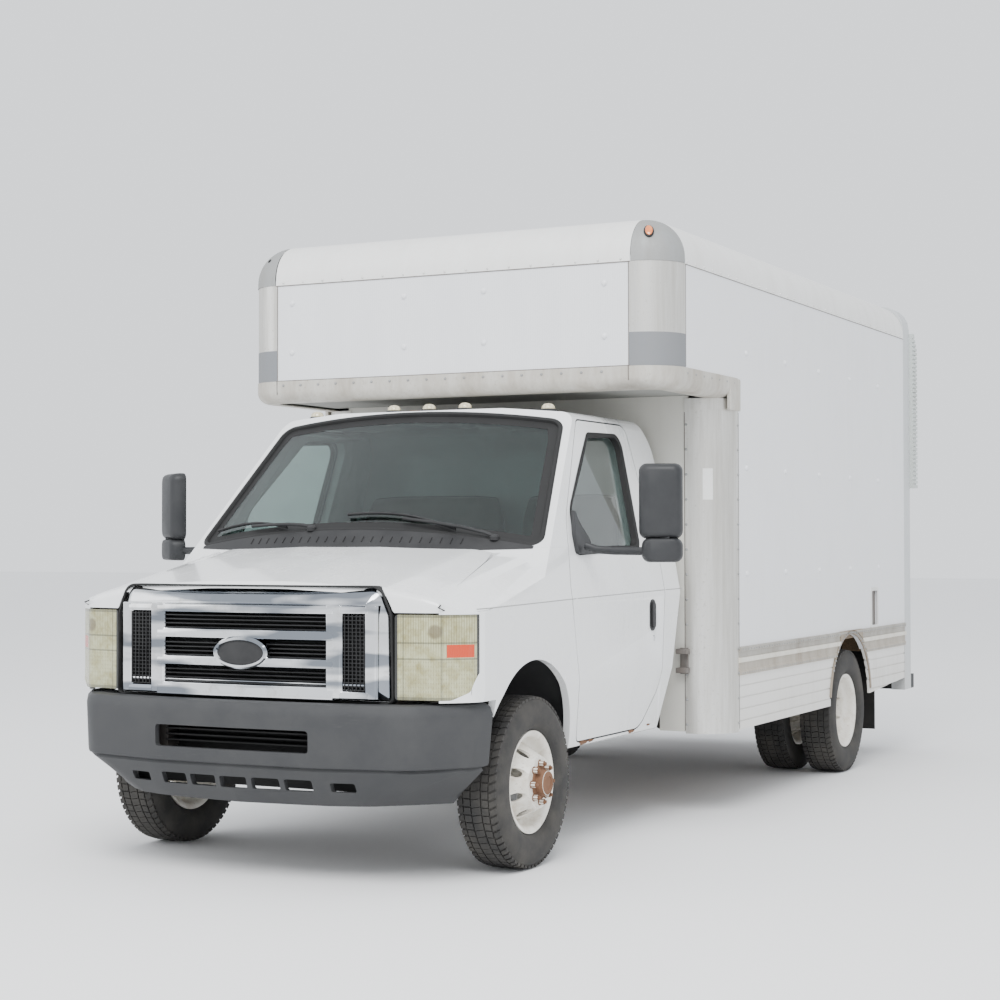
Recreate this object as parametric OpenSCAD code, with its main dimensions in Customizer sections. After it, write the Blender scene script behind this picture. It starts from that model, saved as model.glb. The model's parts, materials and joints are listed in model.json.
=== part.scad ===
// Box truck: van-nosed cab, cargo body with a cab-over attic, twin rear wheels.
// Millimetres. X to the truck's left, Y rearwards, Z up from the ground.
// Lengths along Y are measured from the front axle; set_down() centres the whole.

/* [Chassis] */
// Front axle to rear axle
wheelbase = 4012; // [3500:1:4600]
// Width over the two frame rails
frame_w = 864; // [800:1:900]
// Depth of a frame rail
rail_depth = 170; // [140:1:200]
// Underside of the frame rails
rail_z = 520; // [505:1:560]
// Front end of the frame rails, ahead of the axle
rail_front = 700; // [650:1:720]

/* [Wheels] */
// Tyre radius
tyre_r = 372; // [355:1:380]
// Tyre width at its widest
tyre_w = 210; // [190:1:214]
// Wheel rim lip radius
rim_lip_r = 221; // [210:1:230]
// Wheel rim width over its lips
rim_w = 166; // [150:1:180]
// Centre line of a front wheel, from the truck's middle
front_wheel_x = 885; // [880:1:895]
// Centre line of an outer rear wheel
rear_wheel_x = 1078; // [1065:1:1082]
// Distance between twin wheels
twin_pitch = 290; // [270:1:300]
// Steering pivot line, from the truck's middle
kingpin_x = 800; // [790:1:806]

/* [Cab] */
// Half width of the cab
cab_hw = 1008; // [970:1:1020]
// Underside of the cab's sills
sill_z = 476; // [460:1:520]
// Top of the cab roof at its middle
cab_top = 2064; // [2000:1:2075]
// Back of the cab
cab_back = 1702; // [1680:1:1720]
// Cab wall
cab_wall = 45; // [30:1:60]
// Door thickness
door_t = 80; // [60:1:100]
// Gap round a door, lid or bonnet
panel_gap = 7.5; // [6:0.5:9]
// Front of the bonnet at the middle
nose_y = -742; // [-760:1:-735]
// Bonnet height at its front
nose_z = 1240; // [1200:1:1260]
// Rise of the bonnet towards the windscreen, in degrees
nose_rise = 11; // [9:0.5:12]
// Windscreen lean from level, in degrees
screen_lean = 45; // [42:0.5:48]
// Glass thickness
glass_t = 6; // [4:0.5:8]

/* [Cargo body] */
// Width over the side panels
body_w = 2416; // [2300:1:2480]
// Front of the cargo body behind the cab
body_front = 1757; // [1740:1:1800]
// Front of the attic over the cab
attic_front = 1015; // [900:1:1200]
// Back face of the rear posts
body_back = 5370; // [5250:1:5600]
// Load deck height
deck_z = 850; // [825:1:880]
// Top of the roof
roof_top = 2975; // [2900:1:3100]
// Underside of the attic
attic_z = 2140; // [2120:1:2180]
// Wall thickness
body_wall = 25; // [15:1:35]
// Radius of the body's upright front corners and rounded roof rails
corner_r = 197; // [170:1:220]
// Bottom edge of the side skirts
skirt_z = 434; // [420:1:480]
// Depth of the rear step bumper behind the posts
step_depth = 150; // [100:1:200]

/* [Hidden] */
$fn = 48;
eps = 0.3;
big = 9000;

// Overall length, and the middle that becomes Y = 0
bumper_front = 885;
total_back = body_back + step_depth;
mid_y = (total_back - bumper_front) / 2;

// ---- outline helpers ----------------------------------------------------
function unit(v) = v / norm(v);
function xy(p) = [p[0], p[1]];
// One corner of an outline as an arc of radius r
function corner(a, p, b, r, n) =
  r <= 0 ? [p] :
  let (u = unit(a - p), v = unit(b - p), half = acos(min(1, max(-1, u * v))) / 2)
  half > 89.5 ? [p] :
  let (reach = r / tan(half), t0 = p + u * reach,
       c = p + unit(u + v) * r / sin(half),
       a0 = atan2(t0[1] - c[1], t0[0] - c[0]),
       turn = (180 - 2 * half) * (u[0] * v[1] - u[1] * v[0] > 0 ? -1 : 1))
  [for (i = [0:n]) c + r * [cos(a0 + turn * i / n), sin(a0 + turn * i / n)]];
// Corners [x, y, r] to points
function rounded(c, n = 5) = let (k = len(c))
  [for (i = [0:k - 1]) each corner(xy(c[(i + k - 1) % k]), xy(c[i]), xy(c[(i + 1) % k]), c[i][2], n)];
// The same outline (anticlockwise) drawn in by d
function inset(c, d) = let (k = len(c))
  [for (i = [0:k - 1])
    let (p = xy(c[i]), e1 = unit(p - xy(c[(i + k - 1) % k])), e2 = unit(xy(c[(i + 1) % k]) - p),
         n1 = [-e1[1], e1[0]], n2 = [-e2[1], e2[0]], q = p + (n1 + n2) * d / (1 + n1 * n2),
         bend = e1[0] * e2[1] - e1[1] * e2[0])
    [q[0], q[1], max(0, c[i][2] - (bend > 0 ? d : -d))]];
// A right-hand half outline, bottom to top, closed by its mirror image
function both_sides(h) = concat(h, [for (i = [len(h) - 1:-1:0]) [-h[i][0], h[i][1], h[i][2]]]);

// ---- solids from outlines -----------------------------------------------
module along_x(pts, x0, x1) translate([x0, 0, 0]) rotate([90, 0, 90]) linear_extrude(x1 - x0) polygon(pts);
module along_y(pts, y0, y1) translate([0, y1, 0]) rotate([90, 0, 0]) linear_extrude(y1 - y0) polygon(pts);
module along_z(pts, z0, z1) translate([0, 0, z0]) linear_extrude(z1 - z0) polygon(pts);
module block(lo, hi) translate(lo) cube(hi - lo);
module slab(w, y0, y1, z0, z1) block([-w / 2, y0, z0], [w / 2, y1, z1]);
module both() { children(); mirror([1, 0, 0]) children(); }
module rod_x(r, x0, x1, y = 0, z = 0) translate([x0, y, z]) rotate([0, 90, 0]) cylinder(r = r, h = x1 - x0);
module set_down() translate([0, -mid_y, 0]) children();

// ---- cab outlines -------------------------------------------------------
sill_x = cab_hw - 50;
crease_lo = 780;
crease_hi = 1150;
waist_z = 1335;
waist_x = cab_hw - 42;
eave_x = cab_hw - 205;
eave_z = cab_top - 44;
screen_foot = [207, 1383];
screen_half = 920;
screen_head_half = 772;
screen_head_z = 1955;
screen_r = 3800;
screen_bulge = screen_r - sqrt(screen_r * screen_r - screen_half * screen_half);
firewall_y = 430;

// Cab seen from the front, right half
cab_half = [[sill_x, sill_z, 12], [cab_hw, crease_lo, 160], [cab_hw, crease_hi, 70],
            [waist_x, waist_z, 260], [eave_x, eave_z, 75], [300, cab_top - 4, 900]];
cab_front_outline = both_sides(cab_half);
// Cab seen from the side, with the windscreen's crown line as its front
crown_foot = screen_foot + screen_bulge * [-sin(screen_lean), cos(screen_lean)];
function crown_y(z) = crown_foot[0] + (z - crown_foot[1]) / tan(screen_lean);
cab_side_outline = [[firewall_y, sill_z - 6, 0], [1446, sill_z - 6, 30], [1655, 1160, 400],
  [cab_back, 1500, 300], [cab_back - 12, 1890, 160], [1560, cab_top - 18, 160],
  [1100, cab_top, 900], [crown_y(cab_top - 18), cab_top - 18, 90],
  [crown_y(1383), 1383, 0], [crown_y(1383), 1240, 0], [firewall_y, 940, 60]];

module screen_cylinder(r) {
  foot = [0, crown_foot[0], crown_foot[1]];
  away = [0, sin(screen_lean), -cos(screen_lean)] * screen_r;
  translate(foot + away) rotate([screen_lean - 90, 0, 0]) cylinder(r = r, h = big, center = true, $fn = 720);
}
module cab_volume(d) intersection() {
  along_x(rounded(inset(cab_side_outline, d)), -cab_hw - 10, cab_hw + 10);
  along_y(rounded(inset(cab_front_outline, d)), -400, cab_back + 50);
  screen_cylinder(screen_r - d);
}

// Everything more than d inside the cab's sides, roof and sills
module side_core(d) along_y(rounded(inset(cab_front_outline, d)), -1500, cab_back + 400);

// Nose: bonnet section carried up the rise, cab side and plan outline
nose_half = [[cab_hw + 40, 60, 0], [cab_hw + 40, nose_z - 190, 0], [cab_hw - 4, nose_z - 158, 90],
             [860, nose_z - 76, 180], [640, nose_z - 26, 300], [200, nose_z - 1, 900]];
nose_plan_half = [[cab_hw + 20, 480, 0], [cab_hw + 20, nose_y + 290, 0], [cab_hw - 20, nose_y + 160, 90],
                  [880, nose_y + 60, 90], [680, nose_y + 24, 300], [250, nose_y, 900]];
function plan_turn(h) = [for (i = [len(h) - 1:-1:0]) h[i]];
nose_plan = concat([for (p = plan_turn(nose_plan_half)) p], [for (p = nose_plan_half) [-p[0], p[1], p[2]]]);
module nose_volume(d) intersection() {
  translate([0, nose_y, nose_z]) rotate([nose_rise, 0, 0]) translate([0, 0, -nose_z])
    along_y(rounded(inset(both_sides(nose_half), d)), -300, 1600);
  along_y(rounded(inset(cab_front_outline, d)), nose_y - 100, 500);
  along_z(rounded(inset(nose_plan, d)), sill_z - 6, 1600);
}

// Bonnet in plan: sides draw in towards the windscreen, back edge follows the glass
hood_front_half = 895;
hood_back_half = 745;
cowl_half = 886;
cowl_y = 150;
hood_edge_z = nose_z - 119;
hood_back_r = 2470;
hood_back_y = crown_y(1383) - 42;
function both_ways(h) = concat(h, [for (i = [len(h) - 1:-1:0]) [-h[i][0], h[i][1]]]);
module hood_plan(d) intersection() {
  along_z(both_ways([[hood_front_half - d, nose_y - 50], [hood_back_half - d, 60], [hood_back_half - d, 260]]),
    hood_edge_z - 20, 1700);
  difference() {
    slab(3000, -1400, 1000, 900, 1700);
    translate([0, hood_back_y + hood_back_r, 0]) cylinder(r = hood_back_r + d, h = 3000, $fn = 720);
  }
}
// Region taken by the two fenders, in plan and from the side
module fender_zone(d) both() difference() {
  edge = panel_gap + d;
  along_z([[hood_front_half + edge, nose_y - 60], [hood_back_half + edge, 60], [hood_back_half + edge, cowl_y],
           [cowl_half + edge, cowl_y], [cowl_half + edge, 520],
           [cab_hw + 60, 520], [cab_hw + 60, nose_y - 60]], sill_z - 20, screen_foot[1] - d);
  door_prism(-d);
}

// ---- door ---------------------------------------------------------------
door_outline = [[470, sill_z + 18, 40], [1215, sill_z + 18, 150], [1402, 690, 220], [1453, 1162, 600],
  [1472, 1294, 300], [1400, eave_z - 30, 70], [815, eave_z - 30, 60], [455, 1520, 220],
  [392, 1330, 160], [332, 1165, 200]];
window_outline = [[472, 1348, 40], [1244, 1376, 50], [1303, 1934, 70], [905, 1922, 60], [520, 1560, 130]];
module door_prism(d) along_x(rounded(inset(door_outline, d)), cab_hw - 330, cab_hw + 40);
module window_prism(d) along_x(rounded(inset(window_outline, d)), cab_hw - 360, cab_hw + 60);
door_skin = 12;
door_return = 20;
module door() {
  difference() {
    intersection() {
      side_core(0);
      union() {
        difference() { door_prism(panel_gap); side_core(door_skin); }
        difference() { door_prism(panel_gap + door_return); side_core(door_t); }
      }
    }
    window_prism(0);
    // no flange under the floor: the foot is as deep as the door
    block([cab_hw - 340, 300, sill_z - 10], [cab_hw - 50 - door_t, cab_back, sill_z + door_t + 4]);
    // pull recess behind the outside handle
    block([cab_hw - 14, 1272, 975], [cab_hw + 26, 1312, 1121]);
  }
}
glass_depth = 30;
module door_glass() intersection() {
  difference() { side_core(glass_depth); side_core(glass_depth + glass_t); }
  window_prism(eps);
}
// Hinge brackets on the cab, up against the front edge of each door
door_edge_lean = (470 - 332) / (1165 - sill_z - 18);
function door_front_y(z) = 332 + (1165 - z) * door_edge_lean
  + (panel_gap + door_return) * sqrt(1 + door_edge_lean * door_edge_lean) - eps;
module door_hinges() both() for (h = [[1040, 290, 335], [640, firewall_y + 2, firewall_y + 6]]) {
  back = door_front_y(h[0] + 60);
  block([850, h[1], h[0]], [cowl_half, back, h[0] + 60]);
  block([cowl_half - 1, h[2], h[0]], [cab_hw - 62, back, h[0] + 60]);
}

// Front wheel arch: round, cut square at the fender's foot
arch_r = 432;
arch_c = [-38, 470];
well_r = 470;
well_x = [560, cab_hw - 20];
module arch_cut(grow) {
  rod_x(arch_r + grow, -cab_hw - 60, cab_hw + 60, arch_c[0] , arch_c[1]);
  slab(3000, arch_c[0] - arch_r - grow, arch_c[0] + arch_r + grow, 200, arch_c[1]);
}

// Windscreen opening: a trapezium square to the glass
module screen_prism(d) {
  run = (screen_head_z - screen_foot[1]) / sin(screen_lean);
  pts = rounded(inset([[-screen_half, 0, 60], [screen_half, 0, 60],
                       [screen_head_half, run, 70], [-screen_head_half, run, 70]], d));
  translate([0, screen_foot[0], screen_foot[1]]) rotate([screen_lean, 0, 0])
    translate([0, 0, -160]) linear_extrude(420) polygon(pts);
}

// Headlight: a lens block that wraps the nose corner
lamp_outline = [[696, 768, 14], [920, 768, 30], [978, 800, 20], [1012, 930, 30], [1012, 1114, 16], [696, 1114, 14]];
module lamp_prism(d) along_y(rounded(inset(lamp_outline, d)), nose_y - 60, nose_y + 196);

// Grille opening
grille_outline = [[-686, 757, 20], [686, 757, 20], [676, 1110, 60], [628, 1222, 60], [-628, 1222, 60], [-676, 1110, 60]];
module grille_prism(d, y0, y1) along_y(rounded(inset(grille_outline, d)), y0, y1);

// ---- chassis ------------------------------------------------------------
rail_top = rail_z + rail_depth;
frame_back = body_back - 40;
rail_flange = 66;
cross_z = rail_z + 62;
cross_y = [-560, 480, 1400, 2500, 3300, 4700, 5200];
module frame_rails() color("#1c1c1d") union() {
  both() translate([frame_w / 2 - rail_flange, -rail_front, rail_z]) difference() {
    cube([rail_flange, frame_back + rail_front, rail_depth]);
    translate([-1, -1, 8]) cube([rail_flange - 7, frame_back + rail_front + 2, rail_depth - 16]);
  }
  for (y = cross_y) slab(frame_w - 16, y, y + 70, cross_z, rail_top - 9);
  // cab mounts and the outriggers that carry them
  both() for (y = [620, 1300]) block([frame_w / 2 - 5, y, rail_z + 60], [frame_w / 2 + 260, y + 70, floor_z - eps]);
  // engine cradle
  both() block([240, -260, rail_z + 20], [frame_w / 2 - 8, -180, rail_z + 80]);
  // bumper brackets
  both() block([frame_w / 2 - 60, -rail_front - 88, rail_z + 20], [frame_w / 2 - 6, -rail_front, rail_z + 130]);
}
engine_lo = [-290, -420, 490];
engine_hi = [290, 330, 985];
module engine_block() color("#55585c") difference() {
  block(engine_lo, engine_hi);
  // clears the cradle feet
  both() block([240 - eps, -260 - eps, 400], [400, -180 + eps, rail_z + 80 + eps]);
}

hub_z = tyre_r;
axle_tube_r = 48;
spring_x = 545;
module front_axle() color("#232324") union() {
  along_y(rounded(both_sides([[kingpin_x - 62, hub_z - 35, 8], [kingpin_x - 62, hub_z + 45, 8],
          [500, hub_z + 45, 60], [380, hub_z - 12, 60]]), 4), -36, 36);
  both() translate([kingpin_x, 0, hub_z - 60]) {
    cylinder(r = 17, h = 120);
    for (z = [-26, 120]) translate([0, 0, z]) hull() {
      cylinder(r = 30, h = 26, $fn = 32);
      translate([-90, -24, 0]) cube([30, 48, 26]);
    }
    translate([-92, -36, -26]) cube([32, 72, 172]);
  }
  // coil spring towers up to the rails
  both() translate([frame_w / 2 + 62, 0, hub_z + 30]) cylinder(r = 55, h = rail_z + 110 - hub_z - 30);
  both() block([frame_w / 2, -60, rail_z + 90], [frame_w / 2 + 120, 60, rail_z + 120]);
}

module leaf_spring() {
  half = 700;
  sag = hub_z + axle_tube_r + 4;
  for (i = [0:4])
    block([spring_x - 38, wheelbase - half + i * 120, sag + i * 12],
          [spring_x + 38, wheelbase + half - i * 120, sag + i * 12 + 12]);
  for (s = [-1, 1]) {
    y = wheelbase + s * half;
    rod_x(28, spring_x - 38, spring_x + 38, y, sag + 14);
    block([frame_w / 2, y - 26, sag + 6], [spring_x - 38, y + 26, rail_z + 90]);
  }
}
module rear_axle() color("#232324") union() {
  // tubes, the swollen middle and the hub spigots that the wheels run on
  spigot = rear_inner_x + twin_pitch / 2 + 12;
  half = [[spigot, hub_pin_r - 10], [735, hub_pin_r - 10], [735, axle_tube_r], [210, axle_tube_r],
          [120, 130], [50, 165]];
  translate([0, wheelbase, hub_z]) rotate([0, 90, 0]) rotate_extrude($fn = 96)
    polygon(concat([for (p = half) [p[1], p[0]]], [for (i = [len(half) - 1:-1:0]) [half[i][1], -half[i][0]]],
      [[0, -spigot], [0, spigot]]));
  both() leaf_spring();
  both() block([spring_x - 50, wheelbase - 60, hub_z - 58], [spring_x + 50, wheelbase + 60, hub_z + axle_tube_r + 6]);
}
module drive_shaft() color("#3a3a3b") union() {
  y0 = engine_hi[1] + 520;
  shaft_front = [0, y0, 520];
  d = [0, wheelbase - 176, hub_z + 4] - shaft_front;
  translate(shaft_front) rotate([-90 + atan2(d[2], d[1]), 0, 0]) cylinder(r = 44, h = norm(d));
  // gearbox between engine and shaft
  slab(300, engine_hi[1] + eps, engine_hi[1] + 300, 430, cross_z - 8);
  slab(220, engine_hi[1] + 300, y0 + 10, 450, cross_z - 8);
}
pipe_x = 250;
module pipe(r, y0, y1) translate([pipe_x, y0, 470]) rotate([-90, 0, 0]) cylinder(r = r, h = y1 - y0);
module exhaust() color("#6b5d52") union() {
  pipe(32, 760, 1700);
  pipe(92, 1640, 2340);
  pipe(30, 2300, 3400);
  // hangers up to the cross members
  for (y = [cross_y[2], cross_y[3], cross_y[4]])
    block([pipe_x - 12, y + 20, 480], [pipe_x + 12, y + 44, cross_z - eps]);
}
tank_y = [2000, 3150];
module fuel_tank() color("#2b2b2c") union() {
  translate([-frame_w / 2 - 470, 0, 0]) along_y(rounded([[0, 400, 50], [430, 400, 50], [430, 680, 50], [0, 680, 50]]),
    tank_y[0], tank_y[1]);
  for (y = [tank_y[0] + 200, tank_y[1] - 240])
    block([-frame_w / 2 - 60, y, 540], [-frame_w / 2, y + 40, 600]);
}

// ---- wheels -------------------------------------------------------------
hub_pin_r = 40;
bolt_ring_r = 82;
rim_bed_r = 190;
// A steel wheel about X: lips, drop centre, and a coned disc whose face lies face_x
// outboard of the middle
module wheel(face_x, hand_holes) {
  lip = rim_w / 2;
  skin = 7;
  plate = 12;
  rotate([0, 90, 0]) rotate_extrude($fn = 96) polygon([
    [rim_lip_r, -lip], [rim_lip_r, -lip + 9], [rim_bed_r + skin + 9, -lip + 16], [rim_bed_r + skin + 4, -26],
    [rim_bed_r - 14, -14], [rim_bed_r - 14, 14], [rim_bed_r + skin + 4, 26], [rim_bed_r + skin + 9, lip - 16],
    [rim_lip_r, lip - 9], [rim_lip_r, lip], [rim_lip_r - 8, lip], [rim_bed_r + 6, lip - 10],
    [rim_bed_r - 3, 30], [rim_bed_r - 24, 16], [rim_bed_r - 24, -16], [rim_bed_r - 3, -30],
    [rim_bed_r + 6, -lip + 10], [rim_lip_r - 8, -lip]]);
  difference() {
    rotate([0, 90, 0]) rotate_extrude($fn = 96) polygon([
      [hub_pin_r + 12, face_x - plate], [108, face_x - plate], [rim_bed_r - 42, 22], [rim_bed_r - 32, -10],
      [rim_bed_r - 20, -10], [rim_bed_r - 20, 4], [rim_bed_r - 30, 30], [112, face_x], [hub_pin_r + 12, face_x]]);
    for (i = [0:hand_holes - 1]) rotate([360 / hand_holes * (i + 0.5), 0, 0])
      translate([0, 0, 136]) rotate([0, 90, 0]) cylinder(r = 20, h = face_x + 20);
  }
}
// Hub with its bolt heads, about X, its flange against the wheel face at face_x
module hub(face_x, depth, bore_r) difference() {
  union() {
    rod_x(hub_pin_r + 11.7, face_x - depth, face_x + 40);
    rod_x(bolt_ring_r + 20, face_x - 40, face_x - 12 - eps);
    for (i = [0:7]) rotate([i * 45, 0, 0]) translate([0, 0, bolt_ring_r]) rod_x(12, face_x - 13, face_x + 22);
  }
  rod_x(bore_r, face_x - depth - 1, face_x + 20);
}
module tyre() {
  w = tyre_w / 2;
  rotate([0, 90, 0]) rotate_extrude($fn = 96) polygon(rounded([
    [rim_lip_r + 0.4, -rim_w / 2 + 9.4, 0], [262, -w, 40], [310, -w, 40], [tyre_r - 10, -w + 28, 22],
    [tyre_r, -50, 60], [tyre_r, 50, 60], [tyre_r - 10, w - 28, 22], [310, w, 40], [262, w, 40],
    [rim_lip_r + 0.4, rim_w / 2 - 9.4, 0], [rim_bed_r + 22, rim_w / 2 - 28, 4],
    [rim_bed_r + 22, -rim_w / 2 + 28, 4]], 4));
}
spindle_r = 28;
front_face = 120;
module knuckle() translate([kingpin_x, 0, hub_z]) {
  difference() {
    union() {
      translate([0, 0, -58]) cylinder(r = 36, h = 116);
      block([0, -34, -50], [48, 34, 50]);
      rod_x(spindle_r, 30, front_wheel_x - kingpin_x + front_face + 10);
      // steering arm
      block([-20, 20, -54], [20, 140, -30]);
    }
    translate([0, 0, -80]) cylinder(r = 17.5, h = 160);
  }
}
module front_wheel() translate([front_wheel_x, 0, hub_z]) union() {
  wheel(front_face, 8);
  hub(front_face, 150, spindle_r + 0.05);
}
module front_tyre() translate([front_wheel_x, 0, hub_z]) tyre();
rear_inner_x = rear_wheel_x - twin_pitch;
module rear_wheels() union() {
  face = twin_pitch / 2;
  translate([rear_wheel_x, wheelbase, hub_z]) mirror([1, 0, 0]) wheel(face, 8);
  translate([rear_inner_x, wheelbase, hub_z]) {
    wheel(face - eps, 8);
    hub(face, 190, hub_pin_r - 9.95);
  }
}
module rear_tyres() for (x = [rear_wheel_x, rear_inner_x]) translate([x, wheelbase, hub_z]) tyre();

// ---- cab pieces ---------------------------------------------------------
floor_z = rail_top + 10;
floor_t = 45;
sill_in = 850;
module cab_shell() color("#eceeee") union() {
  difference() {
    union() {
      difference() { cab_volume(0); cab_volume(cab_wall); }
      intersection() {
        cab_volume(0);
        union() {
          slab(3000, firewall_y, cab_back, floor_z, floor_z + floor_t);
          both() block([sill_in, firewall_y, sill_z - 6], [cab_hw, cab_back, floor_z + 1]);
        }
      }
    }
    // the frame, gearbox and exhaust run under the floor, between the sills
    slab(2 * sill_in, -900, cab_back + 10, 100, floor_z);
    both() door_prism(0);
    screen_prism(0);
    fender_zone(-eps);
    hood_clear();
  }
  door_hinges();
}
module hood_clear() intersection() {
  hood_plan(-panel_gap);
  slab(3000, -800, 400, hood_edge_z - 30, 1700);
}
module hood() color("#f1f2f2") intersection() {
  difference() { nose_volume(0); nose_volume(30); grille_prism(-panel_gap, nose_y - 200, nose_y + grille_back + 20); }
  hood_plan(0);
  slab(3000, nose_y - 50, 400, hood_edge_z, 1700);
}
module fenders() color("#f1f2f2") union() {
  difference() {
    intersection() {
      union() {
        difference() { nose_volume(0); nose_volume(32); }
        difference() {
          cab_volume(0);
          cab_volume(32);
          intersection() { side_core(32); slab(3000, -1000, 520, 300, 1180); }
        }
      }
      fender_zone(0);
    }
    arch_cut(0);
    both() lamp_prism(-eps);
    slab(3000, nose_y - 100, nose_y + 330, 300, bumper_top + 6);
  }
  nose_panel();
}
// Pressed panel behind the grille and lamps, and the stops the bonnet shuts on
module nose_panel() {
  back = nose_y + grille_back + eps;
  difference() {
    slab(2 * 680, back, back + 45, bumper_top + 6, 1110);
    slab(2 * 560, back - 1, back + 50, 800, 1070);
  }
  both() {
    block([640, back + 10, 800], [680, nose_y + 218, 1110]);
    block([640, nose_y + 198, 800], [cab_hw - 30, nose_y + 218, 1110]);
    block([372, back, bumper_top - 0.9], [422, back + 30, bumper_top + 7]);
    intersection() {
      translate([600, back + 35, 1100]) cylinder(r = 14, h = 200);
      nose_volume(30 + eps);
    }
  }
}
module wheel_wells() color("#161617") both() intersection() {
  union() {
    difference() {
      rod_x(well_r, well_x[0], well_x[1], arch_c[0], arch_c[1]);
      rod_x(well_r - 8, well_x[0] - 20, cab_hw, arch_c[0], arch_c[1]);
    }
    intersection() {
      rod_x(well_r - 4, well_x[0], well_x[0] + 8, arch_c[0], arch_c[1]);
      slab(3000, -900, 900, rail_top + 4, 1200);
    }
  }
  side_core(32 + eps);
  union() {
    slab(3000, -900, firewall_y - 2, bumper_top + 20, 1200);
    slab(3000, 200, firewall_y - 2, sill_z, 1200);
  }
}
module windscreen() color("#3f4f4c", 0.5) intersection() {
  difference() { screen_cylinder(screen_r - 10); screen_cylinder(screen_r - 10 - glass_t); }
  screen_prism(eps);
}
grille_face = nose_y - 48;
grille_back = 40;
module grille() color("#c9ccd0") union() {
  difference() {
    grille_prism(0, grille_face, nose_y + grille_back);
    // three wide mouths between bars, and two upright side mouths
    for (z = [795, 925, 1048]) slab(2 * 430, grille_face - 1, grille_face + 70, z, z + 80);
    both() block([482, grille_face - 1, 800], [578, grille_face + 70, 1120]);
    // bow the face: edges sit back from the middle
    both() along_z([[200, grille_face - 5], [800, grille_face - 5], [800, grille_face + 46]], 700, 1400);
  }
  // badge: plain oval boss
  translate([0, grille_face + 12, 950]) rotate([90, 0, 0]) scale([1, 1, 1]) linear_extrude(24)
    polygon([for (a = [0:10:350]) [132 * cos(a), 62 * sin(a)]]);
}
module headlights() color("#d9d6b4") both() intersection() {
  difference() { nose_volume(2); nose_volume(60); }
  lamp_prism(eps);
}
bumper_top = 752;
bumper_plan_half = [[1000, nose_y + 310, 0], [980, nose_y + 170, 160], [806, nose_y - 46, 180],
  [400, 13 - bumper_front, 600], [0, -bumper_front, 0]];
module bumper_plan(d) along_z(rounded(inset(concat(
    [for (p = plan_turn(bumper_plan_half)) p],
    [for (i = [0:3]) [-bumper_plan_half[i][0], bumper_plan_half[i][1], bumper_plan_half[i][2]]]), d)), 200, 900);
module bumper_volume(d) intersection() {
  bumper_plan(d);
  // top shelf, face, crease, tucked lower lip, ends cut back for the wheels
  along_x(rounded([[nose_y + 306, bumper_top - 44, 10], [-640, bumper_top - 2, 30], [-790, bumper_top - d, 20],
    [-860, bumper_top - 30 - d, 30], [-bumper_front - 5, bumper_top - 60 - d, 30],
    [-bumper_front - 5, 505, 20], [-bumper_front + 12 + d, 495, 20], [-bumper_front + 48 + d, 334 + d / 4, 30],
    [-660, 370 + d / 4, 20]]), -1100, 1100);
  // ends tucked in under the crease
  along_y(rounded(inset(both_sides([[790, 300, 0], [875, 372, 60], [965, 456, 80], [1030, 520, 0], [1030, 900, 0]]), d / 2)),
    -1000, 0);
}
module front_bumper() color("#3b3d3f") difference() {
  bumper_volume(0);
  difference() {
    translate([0, 40, -8]) bumper_volume(26);
    // full-depth mounting pads at the frame brackets
    both() block([frame_w / 2 - 66, -rail_front - 400, rail_z + 10], [frame_w / 2, -rail_front - 88, rail_z + 140]);
  }
  slab(760, -1000, -600, 556, 644);
  for (i = [-2:2]) block([i * 154 - 65, -1000, 388], [i * 154 + 65, -700, 438]);
  both() block([447, -1000, 392], [553, -700, 430]);
}
seat_z = floor_z + floor_t + 100;
module seats() color("#6f6a62") union() {
  // driver's seat, and a double seat beside it: [middle, width]
  for (s = [[450, 520], [-350, 820]]) {
    x = s[0];
    w = s[1];
    along_x(rounded([[900, seat_z + 10, 30], [1400, seat_z, 30], [1400, seat_z + 130, 50], [900, seat_z + 160, 60]]),
      x - w / 2, x + w / 2);
    along_x(rounded([[1385, seat_z + 20, 20], [1500, seat_z + 20, 30], [1610, 1640, 50], [1510, 1660, 50]]),
      x - w / 2, x + w / 2);
    slab_at(x, w - 120, 960, 1480, floor_z + floor_t + eps, seat_z + 30);
  }
}
module slab_at(x, w, y0, y1, z0, z1) block([x - w / 2, y0, z0], [x + w / 2, y1, z1]);
wheel_c = [430, 800, 1330];
wheel_tilt = -38;
module dashboard() color("#3d3b38") difference() {
  union() {
    intersection() {
      cab_volume(cab_wall + eps);
      along_x(rounded([[firewall_y - 100, 1020, 30], [760, 1020, 60], [760, 1250, 60], [640, 1330, 50], [200, 1340, 20]]),
        -cab_hw + 160, cab_hw - 160);
    }
    // engine cover between the seats
    slab_at(0, 360, firewall_y + cab_wall + eps, 860, floor_z + floor_t + eps, 1030);
  }
  translate(wheel_c) rotate([wheel_tilt, 0, 0]) translate([0, 0, -300]) cylinder(r = 32 + eps, h = 300);
}
module steering_wheel() color("#2a2a2a") union() {
  translate(wheel_c) rotate([wheel_tilt, 0, 0]) {
    rotate_extrude($fn = 64) translate([190, 0]) circle(r = 15, $fn = 24);
    for (a = [90, 210, 330]) rotate([0, 0, a]) translate([0, -14, -8]) cube([192, 28, 12]);
    translate([0, 0, -30]) cylinder(r = 60, h = 34);
    translate([0, 0, -200]) cylinder(r = 32, h = 180);
  }
}
mirror_y = 580;
mirror_half = [1228, 1446];
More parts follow.
